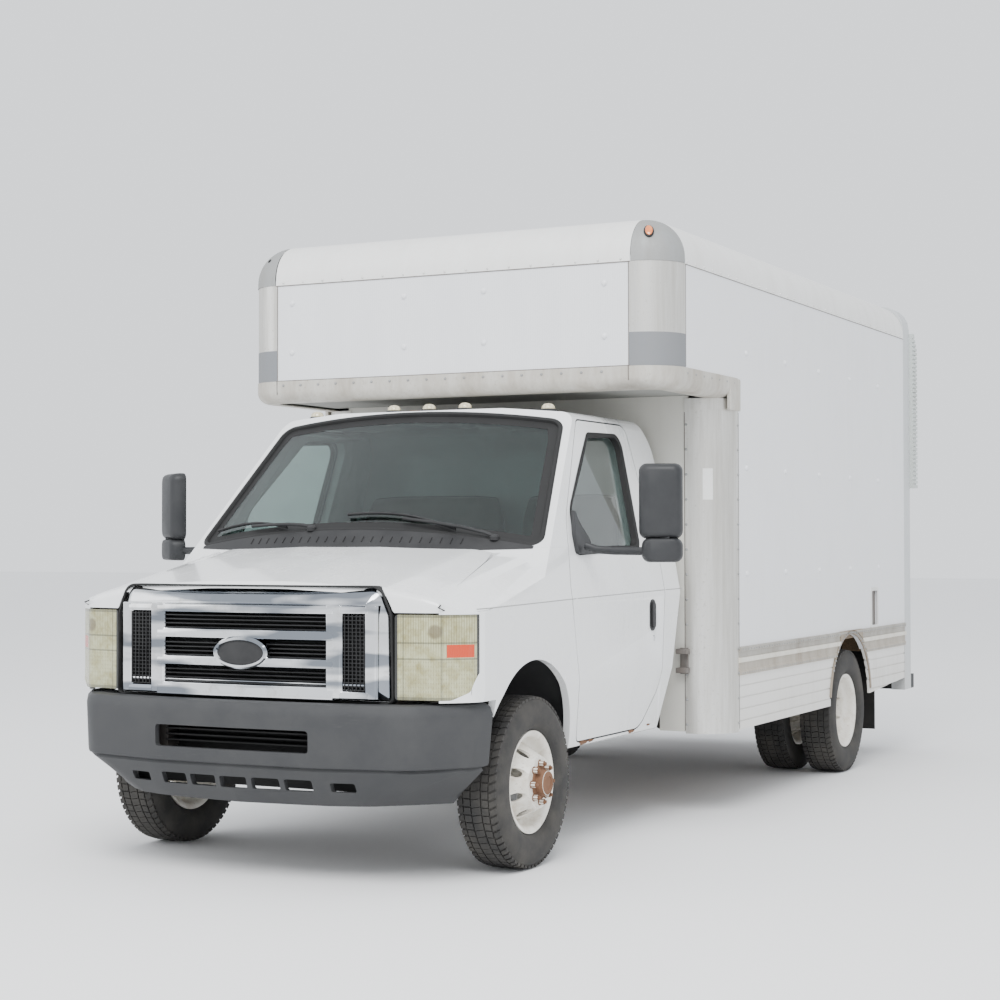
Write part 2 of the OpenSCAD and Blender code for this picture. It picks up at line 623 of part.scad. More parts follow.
module mirror_set() color("#202122") union() {
  block([mirror_half[0], mirror_y - 60, 1424], [mirror_half[1], mirror_y + 60, 1760]);
  block([mirror_half[0] + 6, mirror_y - 55, 1314], [mirror_half[1], mirror_y + 55, 1414]);
  block([mirror_half[0] + 40, mirror_y - 20, 1410], [mirror_half[1] - 40, mirror_y + 20, 1430]);
  // arm from the window's front corner
  block([waist_x + 4, mirror_y - 56, 1352], [mirror_half[0] + 30, mirror_y - 16, 1388]);
  intersection() {
    difference() { cab_volume(-26); cab_volume(-eps); }
    along_x(rounded([[480, 1346, 20], [620, 1346, 30], [600, 1420, 40], [520, 1560, 20], [490, 1500, 40]]), 600, 1200);
  }
}

// ---- cargo body ---------------------------------------------------------
body_hw = body_w / 2;
rail_r = corner_r;
wall_back = body_back - 154;
wall_top = roof_top - rail_r;
attic_rail_top = attic_z + 109;
rub_top = deck_z + 11;
rub_bottom = 713;
wheel_gap = [wheelbase - 47, 425, 412];
module wheel_opening(grow) {
  rod_x(wheel_gap[2] + grow, -body_hw - 40, body_hw + 40, wheel_gap[0], wheel_gap[1]);
  slab(3000, wheel_gap[0] - wheel_gap[2] - grow, wheel_gap[0] + wheel_gap[2] + grow, 100, wheel_gap[1]);
}
bearer_y = [for (y = [body_front + 60:420:body_back - 200]) y];
function near_wheel(y) = abs(y + 30 - wheelbase) < tyre_r + 70;
module box_floor() color("#4a4038") union() {
  corner_in = 60;
  difference() {
    slab(2 * (body_hw - body_wall) - 2 * eps, body_front + body_wall + eps, wall_back - eps, deck_z - 40, deck_z);
    // front corners cut off inside the rounded corner posts
    both() along_z([[body_hw - corner_r + corner_in, 0], [big, 0], [big, body_front + corner_r],
      [body_hw - body_wall - 8, body_front + corner_r], [body_hw - corner_r + corner_in, body_front + corner_in]], 0, 900);
  }
  for (y = bearer_y) {
    w = near_wheel(y) ? frame_w + 120 : 2 * (body_hw - body_wall) - (y < body_front + corner_r ? 260 : 60);
    slab(w, y, y + 60, rail_top, deck_z - 40);
  }
  // attic floor
  w = body_hw - body_wall - eps;
  y0 = attic_front + body_wall + eps;
  along_z(rounded([[-w, y0, corner_r - 27], [w, y0, corner_r - 27], [w, body_front + body_wall, 0],
    [-w, body_front + body_wall, 0]], 8), attic_z + 15, attic_z + 60);
}
pocket = [4425, 872, 4560, 1096];
module box_side_walls() color("#f2f3f4") difference() {
  both() along_x([[body_front + corner_r, rub_bottom + 20], [wall_back, rub_bottom + 20], [wall_back, wall_top],
    [attic_front + corner_r, wall_top], [attic_front + corner_r, attic_rail_top],
    [body_front + corner_r, attic_rail_top]], body_hw - body_wall, body_hw);
  wheel_opening(4);
  block([body_hw - 17, pocket[0], pocket[1]], [body_hw + 10, pocket[2], pocket[3]]);
}
module box_front_walls() color("#e4e2da") union() {
  slab(2 * (body_hw - corner_r), body_front, body_front + body_wall, rub_bottom, attic_z + 15 - eps);
  slab(2 * (body_hw - corner_r), attic_front, attic_front + body_wall, attic_rail_top, wall_top);
}
module box_roof() color("#f2f3f4") {
  slab(2 * (body_hw - rail_r), attic_front + rail_r, wall_back - eps, roof_top - body_wall, roof_top);
}
// A quarter-round shell about the Z axis, outside radius r
module quarter(r, t, h) intersection() {
  difference() { cylinder(r = r, h = h, $fn = 96); translate([0, 0, -1]) cylinder(r = r - t, h = h + 2, $fn = 96); }
  translate([0, -r - 1, 0]) cube([r + 1, r + 1, h]);
}
skin = 14;
rail_mid_x = body_hw - rail_r;
module box_rails() color("#c5c6c6") union() {
  zc = roof_top - rail_r;
  yc = attic_front + corner_r;
  // side roof rails
  both() intersection() {
    translate([rail_mid_x, yc, zc]) rotate([-90, 0, 0]) difference() {
      cylinder(r = rail_r, h = wall_back - eps - yc, $fn = 96);
      translate([0, 0, -1]) cylinder(r = rail_r - skin, h = big, $fn = 96);
    }
    block([rail_mid_x, 0, zc], [body_hw + 1, big, roof_top + 1]);
  }
  // front roof rail, between the corner caps
  intersection() {
    difference() {
      rod_x(rail_r, -rail_mid_x, rail_mid_x, yc, zc, $fn = 96);
      rod_x(rail_r - skin, -body_hw, body_hw, yc, zc, $fn = 96);
    }
    slab(big, attic_front - 1, yc, zc, roof_top + 1);
  }
  // attic's lower rail: front bar and side returns
  slab(2 * (body_hw - corner_r), attic_front - 6, attic_front + body_wall, attic_z, attic_rail_top - eps);
  both() {
    block([body_hw - body_wall, yc, attic_z], [body_hw + 6, body_front + corner_r - eps, attic_rail_top - eps]);
    block([body_hw + eps, body_front + corner_r - 2, attic_z], [body_hw + 6, body_front + corner_r + 30, attic_rail_top - eps]);
  }
  // rub rails with their two grooves
  difference() {
    both() difference() {
      block([body_hw + eps, body_front + corner_r + 2, rub_bottom], [body_hw + 13, wall_back - 4, rub_top]);
      for (z = [rub_bottom + 48, rub_bottom + 92])
        block([body_hw + 7, body_front, z], [body_hw + 20, body_back, z + 16]);
    }
    wheel_opening(0);
  }
}
module front_corners() color("#bfc0bd") both() {
  // upright of the lower body and its head piece
  translate([body_hw - corner_r, body_front + corner_r, skirt_z - 10])
    quarter(corner_r, skin, attic_z - skirt_z + 10 - eps);
  // attic corner, upright and lower rail
  translate([body_hw - corner_r, attic_front + corner_r, attic_rail_top])
    quarter(corner_r, skin, wall_top - attic_rail_top);
  translate([body_hw - corner_r, attic_front + corner_r, attic_z])
    quarter(corner_r + 6, skin + 8, attic_rail_top - attic_z);
  // cast cap: a quarter ball
  translate([body_hw - corner_r, attic_front + corner_r, wall_top]) intersection() {
    difference() { sphere(r = corner_r - 2, $fn = 96); sphere(r = corner_r - 2 - skin, $fn = 96); }
    translate([0, -corner_r, 0]) cube([corner_r, corner_r, corner_r]);
  }
}
skirt_in = body_hw - 15;
module side_skirts() color("#eeeeea") difference() {
  both() difference() {
    along_x([[body_front + corner_r + 2, skirt_z], [wheelbase, skirt_z], [wall_back - 8, skirt_z + 62],
      [wall_back - 8, rub_bottom + 20 - eps], [body_front + corner_r + 2, rub_bottom + 20 - eps]], skirt_in, body_hw);
    for (i = [0:3]) block([body_hw - 5, body_front, rub_bottom - 58 - i * 60], [body_hw + 5, body_back, rub_bottom - 50 - i * 60]);
  }
  wheel_opening(0);
}
post_w = 90;
module rear_frame() color("#b9bcbe") union() {
  difference() {
    along_y(rounded(both_sides([[body_hw, skirt_z - 20, 4], [body_hw, roof_top, 150]])), wall_back, body_back);
    slab(2 * (body_hw - post_w), wall_back - 1, body_back + 1, deck_z, wall_top - 20);
    // open below the sill
    slab(2 * (body_hw - post_w), wall_back - 1, body_back + 1, 100, rub_bottom);
    both() block([frame_w / 2 - rail_flange - 1, wall_back - 1, rail_z - 1], [frame_w / 2 + 1, frame_back + 1, rail_top]);
  }
}
module rear_door() color("#e9eaea") difference() {
  slab(2 * (body_hw - post_w) - 2 * eps, body_back - 70, body_back - 40, deck_z + eps, wall_top - 20 - eps);
  // grooves between the door's panels
  for (z = [deck_z + 320:320:wall_top - 100]) slab(3000, body_back - 46, body_back - 30, z, z + 10);
  // lift handle recess
  slab(300, body_back - 52, body_back - 30, deck_z + 60, deck_z + 180);
}
guard_z = [1760, 2800];
module corner_guards() color("#a9b0ae") both() difference() {
  block([body_hw - 60, body_back + eps, guard_z[0]], [body_hw + 30, body_back + 96, guard_z[1]]);
  for (z = [guard_z[0] + 22:28:guard_z[1] - 20]) {
    block([body_hw - 70, body_back + 88, z], [body_hw + 40, body_back + 120, z + 10]);
    block([body_hw + 22, body_back - 10, z], [body_hw + 40, body_back + 120, z + 10]);
  }
  translate([body_hw - 60, 0, 0]) along_x([[body_back + 97, guard_z[1] - 110], [body_back + 97, guard_z[1] + 1],
    [body_back + 20, guard_z[1] + 1]], -1, 100);
}
step_plate = 8;
module rear_bumper() color("#1d1e1f") difference() {
  union() {
    difference() {
      slab(2 * (body_hw - 20), body_back - 60, total_back, skirt_z - 24, skirt_z + 70);
      slab(2 * (body_hw - 20 - step_plate), body_back - 60 + step_plate, total_back - step_plate,
        skirt_z - 60, skirt_z + 70 - step_plate);
    }
    both() block([frame_w / 2 - 50, frame_back + eps, skirt_z + 60], [frame_w / 2 - 8, body_back + 60, rail_top - 20]);
  }
  // tow ball hole through the step
  translate([0, total_back - 75, skirt_z]) cylinder(r = ball_hole_r, h = 120);
  both() block([body_hw - post_w - 1, 0, 0], [body_hw + 1, body_back + eps, skirt_z + 100]);
}
ball_hole_r = 12.7;
flap_y = bearer_y[7] + 60 + eps;
module mud_flaps() color("#151515") both()
  block([rear_inner_x - 100, flap_y, 185], [skirt_in - 80, flap_y + 10, deck_z - 60]);
module marker_lamps() color("#c8642c") union() {
  // five dome lamps on the cab roof
  for (x = [-650, -200, 0, 200, 650])
    translate([x, 850, min(cab_roof(abs(x) - 36), roof_at_lamps) + eps]) intersection() {
      sphere(r = 36);
      block([-50, -50, 0], [50, 50, 50]);
    }
  // tail lamps in the posts
  both() block([body_hw - 70, body_back + eps, 900], [body_hw - 16, body_back + 16, 1160]);
}
roof_at_lamps = cab_top - 18 + 18 * (886 - crown_y(cab_top - 18)) / (1100 - crown_y(cab_top - 18));
function cab_roof(x) = min(cab_top - 4, eave_z + (cab_top - 4 - eave_z) * (eave_x - x) / (eave_x - 300));

module left_door() color("#f1f2f2") door();

set_down() frame_rails();
set_down() engine_block();
set_down() front_axle();
set_down() rear_axle();
set_down() drive_shaft();
set_down() exhaust();
set_down() fuel_tank();
set_down() cab_shell();
set_down() fenders();
set_down() wheel_wells();
set_down() windscreen();
set_down() grille();
set_down() headlights();
set_down() front_bumper();
set_down() seats();
set_down() dashboard();
set_down() steering_wheel();
set_down() hood();
set_down() left_door();  // door_left
set_down() mirror([1, 0, 0]) left_door();  // door_right
set_down() color("#55645f", 0.5) door_glass();  // door_glass_left
set_down() mirror([1, 0, 0]) color("#55645f", 0.5) door_glass();  // door_glass_right
set_down() mirror_set();  // mirror_left
set_down() mirror([1, 0, 0]) mirror_set();  // mirror_right
set_down() box_floor();
set_down() box_side_walls();
set_down() box_front_walls();
set_down() box_roof();
set_down() box_rails();
set_down() front_corners();
set_down() side_skirts();
set_down() rear_frame();
set_down() rear_door();
set_down() corner_guards();
set_down() rear_bumper();
set_down() mud_flaps();
set_down() marker_lamps();
set_down() color("#2c2c2d") knuckle();  // knuckle_left
set_down() mirror([1, 0, 0]) color("#2c2c2d") knuckle();  // knuckle_right
set_down() color("#e6e3da") front_wheel();  // front_wheel_left
set_down() mirror([1, 0, 0]) color("#e6e3da") front_wheel();  // front_wheel_right
set_down() color("#232323") front_tyre();  // front_tyre_left
set_down() mirror([1, 0, 0]) color("#232323") front_tyre();  // front_tyre_right
set_down() color("#e6e3da") rear_wheels();  // rear_wheels_left
set_down() mirror([1, 0, 0]) color("#e6e3da") rear_wheels();  // rear_wheels_right
set_down() color("#232323") rear_tyres();  // rear_tyres_left
set_down() mirror([1, 0, 0]) color("#232323") rear_tyres();  // rear_tyres_right
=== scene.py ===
"""Box truck: finishes, detailed pieces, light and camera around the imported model."""
from __future__ import annotations

import itertools
import json
import logging
import math
from dataclasses import dataclass, field
from enum import Enum
from typing import Iterable, Sequence

import bmesh
import bpy
from mathutils import Matrix, Vector

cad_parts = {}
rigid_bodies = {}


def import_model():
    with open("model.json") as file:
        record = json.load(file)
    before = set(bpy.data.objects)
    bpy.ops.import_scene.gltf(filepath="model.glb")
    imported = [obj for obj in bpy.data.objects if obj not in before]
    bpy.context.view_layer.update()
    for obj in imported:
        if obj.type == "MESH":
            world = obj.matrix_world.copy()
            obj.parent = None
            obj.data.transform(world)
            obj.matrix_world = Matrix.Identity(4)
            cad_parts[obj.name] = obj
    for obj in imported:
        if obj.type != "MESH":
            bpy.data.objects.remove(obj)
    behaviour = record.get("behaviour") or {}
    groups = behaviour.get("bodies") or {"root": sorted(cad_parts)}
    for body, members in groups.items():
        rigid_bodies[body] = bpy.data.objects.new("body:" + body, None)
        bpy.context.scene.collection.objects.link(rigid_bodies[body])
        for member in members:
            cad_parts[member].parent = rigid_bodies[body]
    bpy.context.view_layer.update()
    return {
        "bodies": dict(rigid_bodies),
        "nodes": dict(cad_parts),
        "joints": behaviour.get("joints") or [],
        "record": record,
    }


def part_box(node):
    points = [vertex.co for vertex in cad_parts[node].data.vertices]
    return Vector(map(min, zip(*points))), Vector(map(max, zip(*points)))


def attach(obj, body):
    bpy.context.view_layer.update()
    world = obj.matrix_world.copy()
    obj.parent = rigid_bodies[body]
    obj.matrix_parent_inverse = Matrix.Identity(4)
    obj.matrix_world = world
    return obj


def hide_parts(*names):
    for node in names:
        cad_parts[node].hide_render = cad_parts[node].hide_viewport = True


LOG = logging.getLogger("box_truck")
Point = tuple[float, float]
Corner = tuple[float, float, float]
Colour = tuple[float, float, float]
Socket = bpy.types.NodeSocket
Paint = bpy.types.Material
Item = bpy.types.Object

MM_PER_M = 1000.0
HUB_Z = 372.0
BOLT_CIRCLE = 82.0
BOLT_COUNT = 8
FRONT_WHEEL_FACE = 120.0
REAR_WHEEL_FACE = 145.0


class Axis(Enum):
    """The direction a shape is extruded or turned about."""

    X = 0
    Y = 1
    Z = 2


class Side(Enum):
    """A side of the truck; the value is the sign of X there."""

    LEFT = 1
    RIGHT = -1

    @property
    def word(self) -> str:
        """The side's name as the model's nodes spell it."""
        return self.name.lower()


SIDES = (Side.LEFT, Side.RIGHT)


def ordered(sign: int, near: float, far: float) -> list[float]:
    """The low and high X of what lies between two distances on one side."""
    return sorted((sign * near, sign * far))


def spread(first: float, last: float, steps: int) -> list[float]:
    """Evenly spaced values from first to last."""
    return [first + (last - first) * k / steps for k in range(steps + 1)]


def unit_circle(steps: int) -> list[Point]:
    """Evenly spaced points on a circle of radius one."""
    return [(math.cos(math.tau * k / steps), math.sin(math.tau * k / steps)) for k in range(steps)]


def between(a: Point, b: Point, share: float) -> Point:
    """The point a share of the way from a to b."""
    return (a[0] + (b[0] - a[0]) * share, a[1] + (b[1] - a[1]) * share)


def middle(points: Sequence[Point]) -> Point:
    """The mean of an outline's points."""
    return (sum(p[0] for p in points) / len(points), sum(p[1] for p in points) / len(points))


def read_line(line: Sequence[Point], place_x: float, otherwise: float) -> float:
    """Read a line of points, rising in their first value, at one place."""
    for (x0, y0), (x1, y1) in zip(line, line[1:]):
        if x0 <= place_x <= x1 and x1 > x0:
            return y0 + (y1 - y0) * (place_x - x0) / (x1 - x0)
    return otherwise


@dataclass
class Datum:
    """Where the front axle stands in the frame, so lengths can be counted from it."""

    axle_y: float = 0.0
    hub_z: float = 0.372

    def read(self) -> None:
        """Read the axle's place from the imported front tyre."""
        low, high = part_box("front_tyre_left")
        self.axle_y = (low[1] + high[1]) / 2
        self.hub_z = (low[2] + high[2]) / 2


DATUM = Datum()


def at(x: float, y: float, z: float) -> Vector:
    """Place a point.

    Args:
        x: Millimetres to the truck's left.
        y: Millimetres behind the front axle.
        z: Millimetres above the ground.

    Returns:
        The point in the frame, in metres.
    """
    return Vector((x / MM_PER_M, y / MM_PER_M + DATUM.axle_y, z / MM_PER_M))


# ---- node graphs ---------------------------------------------------------------


class Graph:
    """A material's nodes, wired by short calls. Patterns read Object coordinates."""

    def __init__(self, name: str) -> None:
        """Start a material with one Principled shader."""
        self.material = bpy.data.materials.new(name)
        self.material.use_nodes = True
        self.tree = self.material.node_tree
        self.tree.nodes.clear()
        self.shader = self.tree.nodes.new("ShaderNodeBsdfPrincipled")
        output = self.tree.nodes.new("ShaderNodeOutputMaterial")
        self.tree.links.new(self.shader.outputs["BSDF"], output.inputs["Surface"])
        self.coords = self.tree.nodes.new("ShaderNodeTexCoord").outputs["Object"]

    def set(self, **values: float | Sequence[float]) -> None:
        """Set shader sockets by name, with spaces written as underscores."""
        for key, value in values.items():
            self.shader.inputs[key.replace("_", " ")].default_value = value

    def link(self, socket: Socket, name: str) -> None:
        """Drive one shader socket from a node."""
        self.tree.links.new(socket, self.shader.inputs[name])

    def space(self, scale: Sequence[float] = (1, 1, 1),
              shift: Sequence[float] = (0, 0, 0)) -> Socket:
        """Stretch and shift the Object coordinates."""
        node = self.tree.nodes.new("ShaderNodeMapping")
        node.inputs["Scale"].default_value = scale
        node.inputs["Location"].default_value = shift
        self.tree.links.new(self.coords, node.inputs["Vector"])
        return node.outputs["Vector"]

    def noise(self, scale: float, detail: float = 4.0, rough: float = 0.55,
              stretch: Sequence[float] = (1, 1, 1), shift: Sequence[float] = (0, 0, 0)) -> Socket:
        """Cloudy pattern from 0 to 1."""
        node = self.tree.nodes.new("ShaderNodeTexNoise")
        node.inputs["Scale"].default_value = scale
        node.inputs["Detail"].default_value = detail
        node.inputs["Roughness"].default_value = rough
        self.tree.links.new(self.space(stretch, shift), node.inputs["Vector"])
        return node.outputs["Fac"]

    def cells(self, scale: float, stretch: Sequence[float] = (1, 1, 1)) -> Socket:
        """Distance to the nearest of scattered points."""
        node = self.tree.nodes.new("ShaderNodeTexVoronoi")
        node.inputs["Scale"].default_value = scale
        self.tree.links.new(self.space(stretch), node.inputs["Vector"])
        return node.outputs["Distance"]

    def math(self, kind: str, a: Socket | float, b: Socket | float = 0.0) -> Socket:
        """One Math node on two values."""
        node = self.tree.nodes.new("ShaderNodeMath")
        node.operation = kind
        for slot, value in zip(node.inputs, (a, b)):
            if isinstance(value, (int, float)):
                slot.default_value = value
            else:
                self.tree.links.new(value, slot)
        return node.outputs["Value"]

    def times(self, a: Socket | float, b: Socket | float) -> Socket:
        """Multiply two values."""
        return self.math("MULTIPLY", a, b)

    def plus(self, a: Socket | float, b: Socket | float) -> Socket:
        """Add two values."""
        return self.math("ADD", a, b)

    def most(self, a: Socket | float, b: Socket | float) -> Socket:
        """The larger of two values."""
        return self.math("MAXIMUM", a, b)

    def over(self, a: Socket, limit: float) -> Socket:
        """1 where a value is above a limit."""
        return self.math("GREATER_THAN", a, limit)

    def under(self, a: Socket, limit: float) -> Socket:
        """1 where a value is below a limit."""
        return self.math("LESS_THAN", a, limit)

    def part(self, axis: Axis) -> Socket:
        """One component of the Object coordinates."""
        node = self.tree.nodes.new("ShaderNodeSeparateXYZ")
        self.tree.links.new(self.coords, node.inputs["Vector"])
        return node.outputs[axis.value]

    def span(self, value: Socket, low: float, high: float,
             out_low: float = 0.0, out_high: float = 1.0) -> Socket:
        """Map low..high to out_low..out_high and clamp."""
        node = self.tree.nodes.new("ShaderNodeMapRange")
        self.tree.links.new(value, node.inputs["Value"])
        for key, number in (("From Min", low), ("From Max", high), ("To Min", out_low),
                            ("To Max", out_high)):
            node.inputs[key].default_value = number
        return node.outputs["Result"]

    def mix(self, share: Socket, a: Socket | Colour,
            b: Socket | Colour) -> Socket:
        """Blend two colours."""
        node = self.tree.nodes.new("ShaderNodeMix")
        node.data_type = "RGBA"
        self.tree.links.new(share, node.inputs["Factor"])
        for slot, value in ((node.inputs[6], a), (node.inputs[7], b)):
            if isinstance(value, tuple):
                slot.default_value = (*value, 1.0)
            else:
                self.tree.links.new(value, slot)
        return node.outputs[2]

    def bump(self, height: Socket, depth: float, strength: float = 1.0) -> None:
        """Drive the shader's normal from a height pattern; depth is in metres."""
        node = self.tree.nodes.new("ShaderNodeBump")
        node.inputs["Strength"].default_value = strength
        node.inputs["Distance"].default_value = depth
        self.tree.links.new(height, node.inputs["Height"])
        self.link(node.outputs["Normal"], "Normal")


# ---- finishes ------------------------------------------------------------------


@dataclass(frozen=True)
class Enamel:
    """Sprayed paint with road grime, low dirt and rust freckles."""

    name: str
    colour: Colour
    rough: float = 0.22
    coat: float = 0.6
    dirt: Colour = (0.42, 0.38, 0.31)
    dirt_share: float = 0.22
    low_dirt: tuple[float, float] = (0.9, 0.35)
    rust_share: float = 0.0
    ripple: float = 0.0004

    def build(self) -> Paint:
        """Make the material."""
        g = Graph(self.name)
        g.set(Coat_Weight=self.coat, Coat_Roughness=0.08, IOR=1.5)
        clouds = g.noise(2.2, 6.0, 0.62)
        streaks = g.noise(5.0, 5.0, 0.6, stretch=(3.0, 3.0, 0.35))
        grime = g.times(g.span(clouds, 0.42, 0.78), g.span(streaks, 0.35, 0.7))
        low = g.span(g.part(Axis.Z), *self.low_dirt)
        share = g.times(g.plus(grime, g.times(low, 0.55)),
                       self.dirt_share)
        colour = g.mix(g.math("MINIMUM", share, 0.85), self.colour, self.dirt)
        if self.rust_share > 0:
            spots = g.span(g.noise(26.0, 5.0, 0.7, shift=(3, 7, 1)), 0.66, 0.72)
            patch = g.span(g.noise(4.0, 3.0, 0.5, shift=(9, 1, 4)), 0.55, 0.7)
            rust = g.times(g.times(spots, patch), self.rust_share)
            colour = g.mix(rust, colour, (0.23, 0.09, 0.04))
        g.link(colour, "Base Color")
        g.link(g.span(grime, 0.0, 1.0, self.rough, min(1.0, self.rough + 0.3)), "Roughness")
        g.bump(g.noise(9.0, 3.0, 0.5), self.ripple, 0.6)
        return g.material


@dataclass(frozen=True)
class Alloy:
    """Weathered sheet metal: brushed, dented and stained. In corner_silver the upright stain streaks
    also carry painted shade.
    """

    name: str
    colour: Colour
    # The stain colour, which in corner_silver also stands for painted shade.
    stain: Colour = (0.34, 0.31, 0.26)
    stain_share: float = 0.5
    rough: float = 0.38
    metallic: float = 0.85
    dents: float = 0.0015
    stretch: tuple[float, float, float] = (1.0, 1.0, 0.3)

    def build(self) -> Paint:
        """Make the material."""
        g = Graph(self.name)
        g.set(Metallic=self.metallic)
        # Streaky stains; for corner_silver these streaks are partly painted shade bands.
        stains_and_shade = g.span(g.noise(6.0, 7.0, 0.68, stretch=self.stretch), 0.38, 0.75)
        specks = g.span(g.noise(60.0, 4.0, 0.6), 0.55, 0.8)
        share = g.times(g.most(stains_and_shade, specks), self.stain_share)
        g.link(g.mix(share, self.colour, self.stain), "Base Color")
        g.link(g.span(stains_and_shade, 0.0, 1.0, self.rough, self.rough + 0.3), "Roughness")
        g.bump(g.noise(7.0, 3.0, 0.5, stretch=self.stretch), self.dents, 0.5)
        return g.material


@dataclass(frozen=True)
class Chrome:
    """Bright plating with faint haze and dark bands of painted reflection."""

    name: str = "chrome_plate"
    colour: Colour = (0.80, 0.81, 0.82)
    # shade: the colour of the dark bands of painted reflection
    shade: Colour = (0.24, 0.26, 0.29)

    def build(self) -> Paint:
        """Make the material."""
        g = Graph(self.name)
        g.set(Metallic=1.0)
        haze = g.noise(14.0, 6.0, 0.7)
        # Dark bands stretched along the plating and blended toward shade: painted reflection.
        painted_reflection = g.span(g.noise(3.2, 2.0, 0.4, stretch=(0.8, 0.8, 5.0)), 0.44, 0.56)
        bright = g.mix(g.span(haze, 0.5, 0.8), self.colour, (0.55, 0.54, 0.52))
        g.link(g.mix(painted_reflection, bright, self.shade), "Base Color")
        g.link(g.span(haze, 0.3, 0.8, 0.05, 0.2), "Roughness")
        return g.material


@dataclass(frozen=True)
class Moulding:
    """Grained plastic or rubber with dust and sun fade."""

    name: str
    colour: Colour
    fade: Colour = (0.2, 0.2, 0.19)
    fade_share: float = 0.35
    rough: float = 0.55
    grain: float = 0.0003
    grain_scale: float = 420.0

    def build(self) -> Paint:
        """Make the material."""
        g = Graph(self.name)
        g.set(Specular_IOR_Level=0.35)
        dust = g.span(g.noise(5.0, 6.0, 0.66), 0.4, 0.75)
        scuffs = g.span(g.noise(30.0, 5.0, 0.7, stretch=(0.3, 0.3, 2.0)), 0.6, 0.8)
        share = g.times(g.most(dust, scuffs), self.fade_share)
        g.link(g.mix(share, self.colour, self.fade), "Base Color")
        g.link(g.span(dust, 0.0, 1.0, self.rough, min(1.0, self.rough + 0.25)), "Roughness")
        g.bump(g.noise(self.grain_scale, 2.0, 0.5), self.grain, 0.5)
        return g.material


@dataclass(frozen=True)
class Glazing:
    """Tinted window glass."""

    name: str
    tint: Colour = (0.42, 0.5, 0.47)

    def build(self) -> Paint:
        """Make the material."""
        g = Graph(self.name)
        g.set(Transmission_Weight=1.0, IOR=1.45, Roughness=0.0)
        haze = g.span(g.noise(3.0, 5.0, 0.6), 0.3, 0.8)
        g.link(g.mix(haze, self.tint, tuple(c * 0.88 for c in self.tint)), "Base Color")
        return g.material


@dataclass(frozen=True)
class Lens:
    """Moulded lamp plastic with fluting behind a clear face."""

    name: str
    colour: Colour
    shade: Colour
    flute: float = 90.0
    depth: float = 0.002

    def build(self) -> Paint:
        """Make the material."""
        g = Graph(self.name)
        g.set(Roughness=0.16, Coat_Weight=1.0, Coat_Roughness=0.04, Subsurface_Weight=0.0)
        wave = g.math("SINE", g.times(g.part(Axis.X), self.flute * math.tau / 2))
        clouds = g.noise(28.0, 5.0, 0.6)
        share = g.plus(g.span(wave, -1.0, 1.0, 0.0, 0.45), g.span(clouds, 0.4, 0.7, 0.0, 0.55))
        g.link(g.mix(share, self.colour, self.shade), "Base Color")
        g.bump(wave, self.depth, 0.4)
        return g.material


@dataclass(frozen=True)
class Ribbed:
    """White pre-painted sheet with fine upright ribs, each rib darkened with painted shade."""

    name: str = "attic_sheet"
    pitch: float = 0.0125
    colour: Colour = (0.80, 0.81, 0.83)

    def build(self) -> Paint:
        """Make the material."""
        g = Graph(self.name)
        g.set(Roughness=0.32, Coat_Weight=0.25, Coat_Roughness=0.15)
        wave = g.math("SINE", g.times(g.part(Axis.X), math.tau / self.pitch))
        ridge = g.span(wave, 0.35, 1.0)
        clouds = g.span(g.noise(1.6, 5.0, 0.6, stretch=(2.0, 1.0, 0.4)), 0.35, 0.75)
        tone = g.mix(clouds, self.colour, tuple(c * 0.93 for c in self.colour))
        # Each rib is darkened toward grey: painted shade along the ribs.
        g.link(g.mix(g.times(ridge, 0.22), tone, (0.62, 0.64, 0.67)), "Base Color")
        g.bump(ridge, 0.0008, 0.35)
        return g.material


@dataclass(frozen=True)
class RustyWheel:
    """Wheel enamel stained with brake dust and rust near the bolts."""

    name: str = "wheel_enamel"
    colour: Colour = (0.80, 0.77, 0.70)

    def build(self) -> Paint:
        """Make the material."""
        g = Graph(self.name)
        g.set(Roughness=0.42, Coat_Weight=0.2, Coat_Roughness=0.2)
        blotch = g.span(g.noise(13.0, 7.0, 0.7), 0.5, 0.72)
        fine = g.span(g.noise(70.0, 5.0, 0.7), 0.6, 0.72)
        stained = g.mix(g.times(blotch, 0.55), self.colour, (0.42, 0.33, 0.22))
        g.link(g.mix(g.times(fine, 0.7), stained, (0.20, 0.10, 0.05)), "Base Color")
        g.bump(g.noise(40.0, 4.0, 0.6), 0.0004, 0.5)
        return g.material


@dataclass(frozen=True)
class Cloth:
    """Woven seat cloth."""

    name: str = "seat_weave"
    colour: Colour = (0.28, 0.26, 0.235)

    def build(self) -> Paint:
        """Make the material."""
        g = Graph(self.name)
        g.set(Roughness=0.9, Sheen_Weight=0.3)
        warp = g.math("SINE", g.times(g.part(Axis.X), 2600.0))
        weft = g.math("SINE", g.times(g.part(Axis.Y), 2600.0))
        weave = g.times(warp, weft)
        clouds = g.span(g.noise(9.0, 5.0, 0.6), 0.35, 0.7)
        tone = g.mix(clouds, self.colour, tuple(c * 0.72 for c in self.colour))
        g.link(g.mix(g.span(weave, -1.0, 1.0, 0.0, 0.3), tone, (0.12, 0.11, 0.10)), "Base Color")
        g.bump(weave, 0.0005, 0.5)
        return g.material


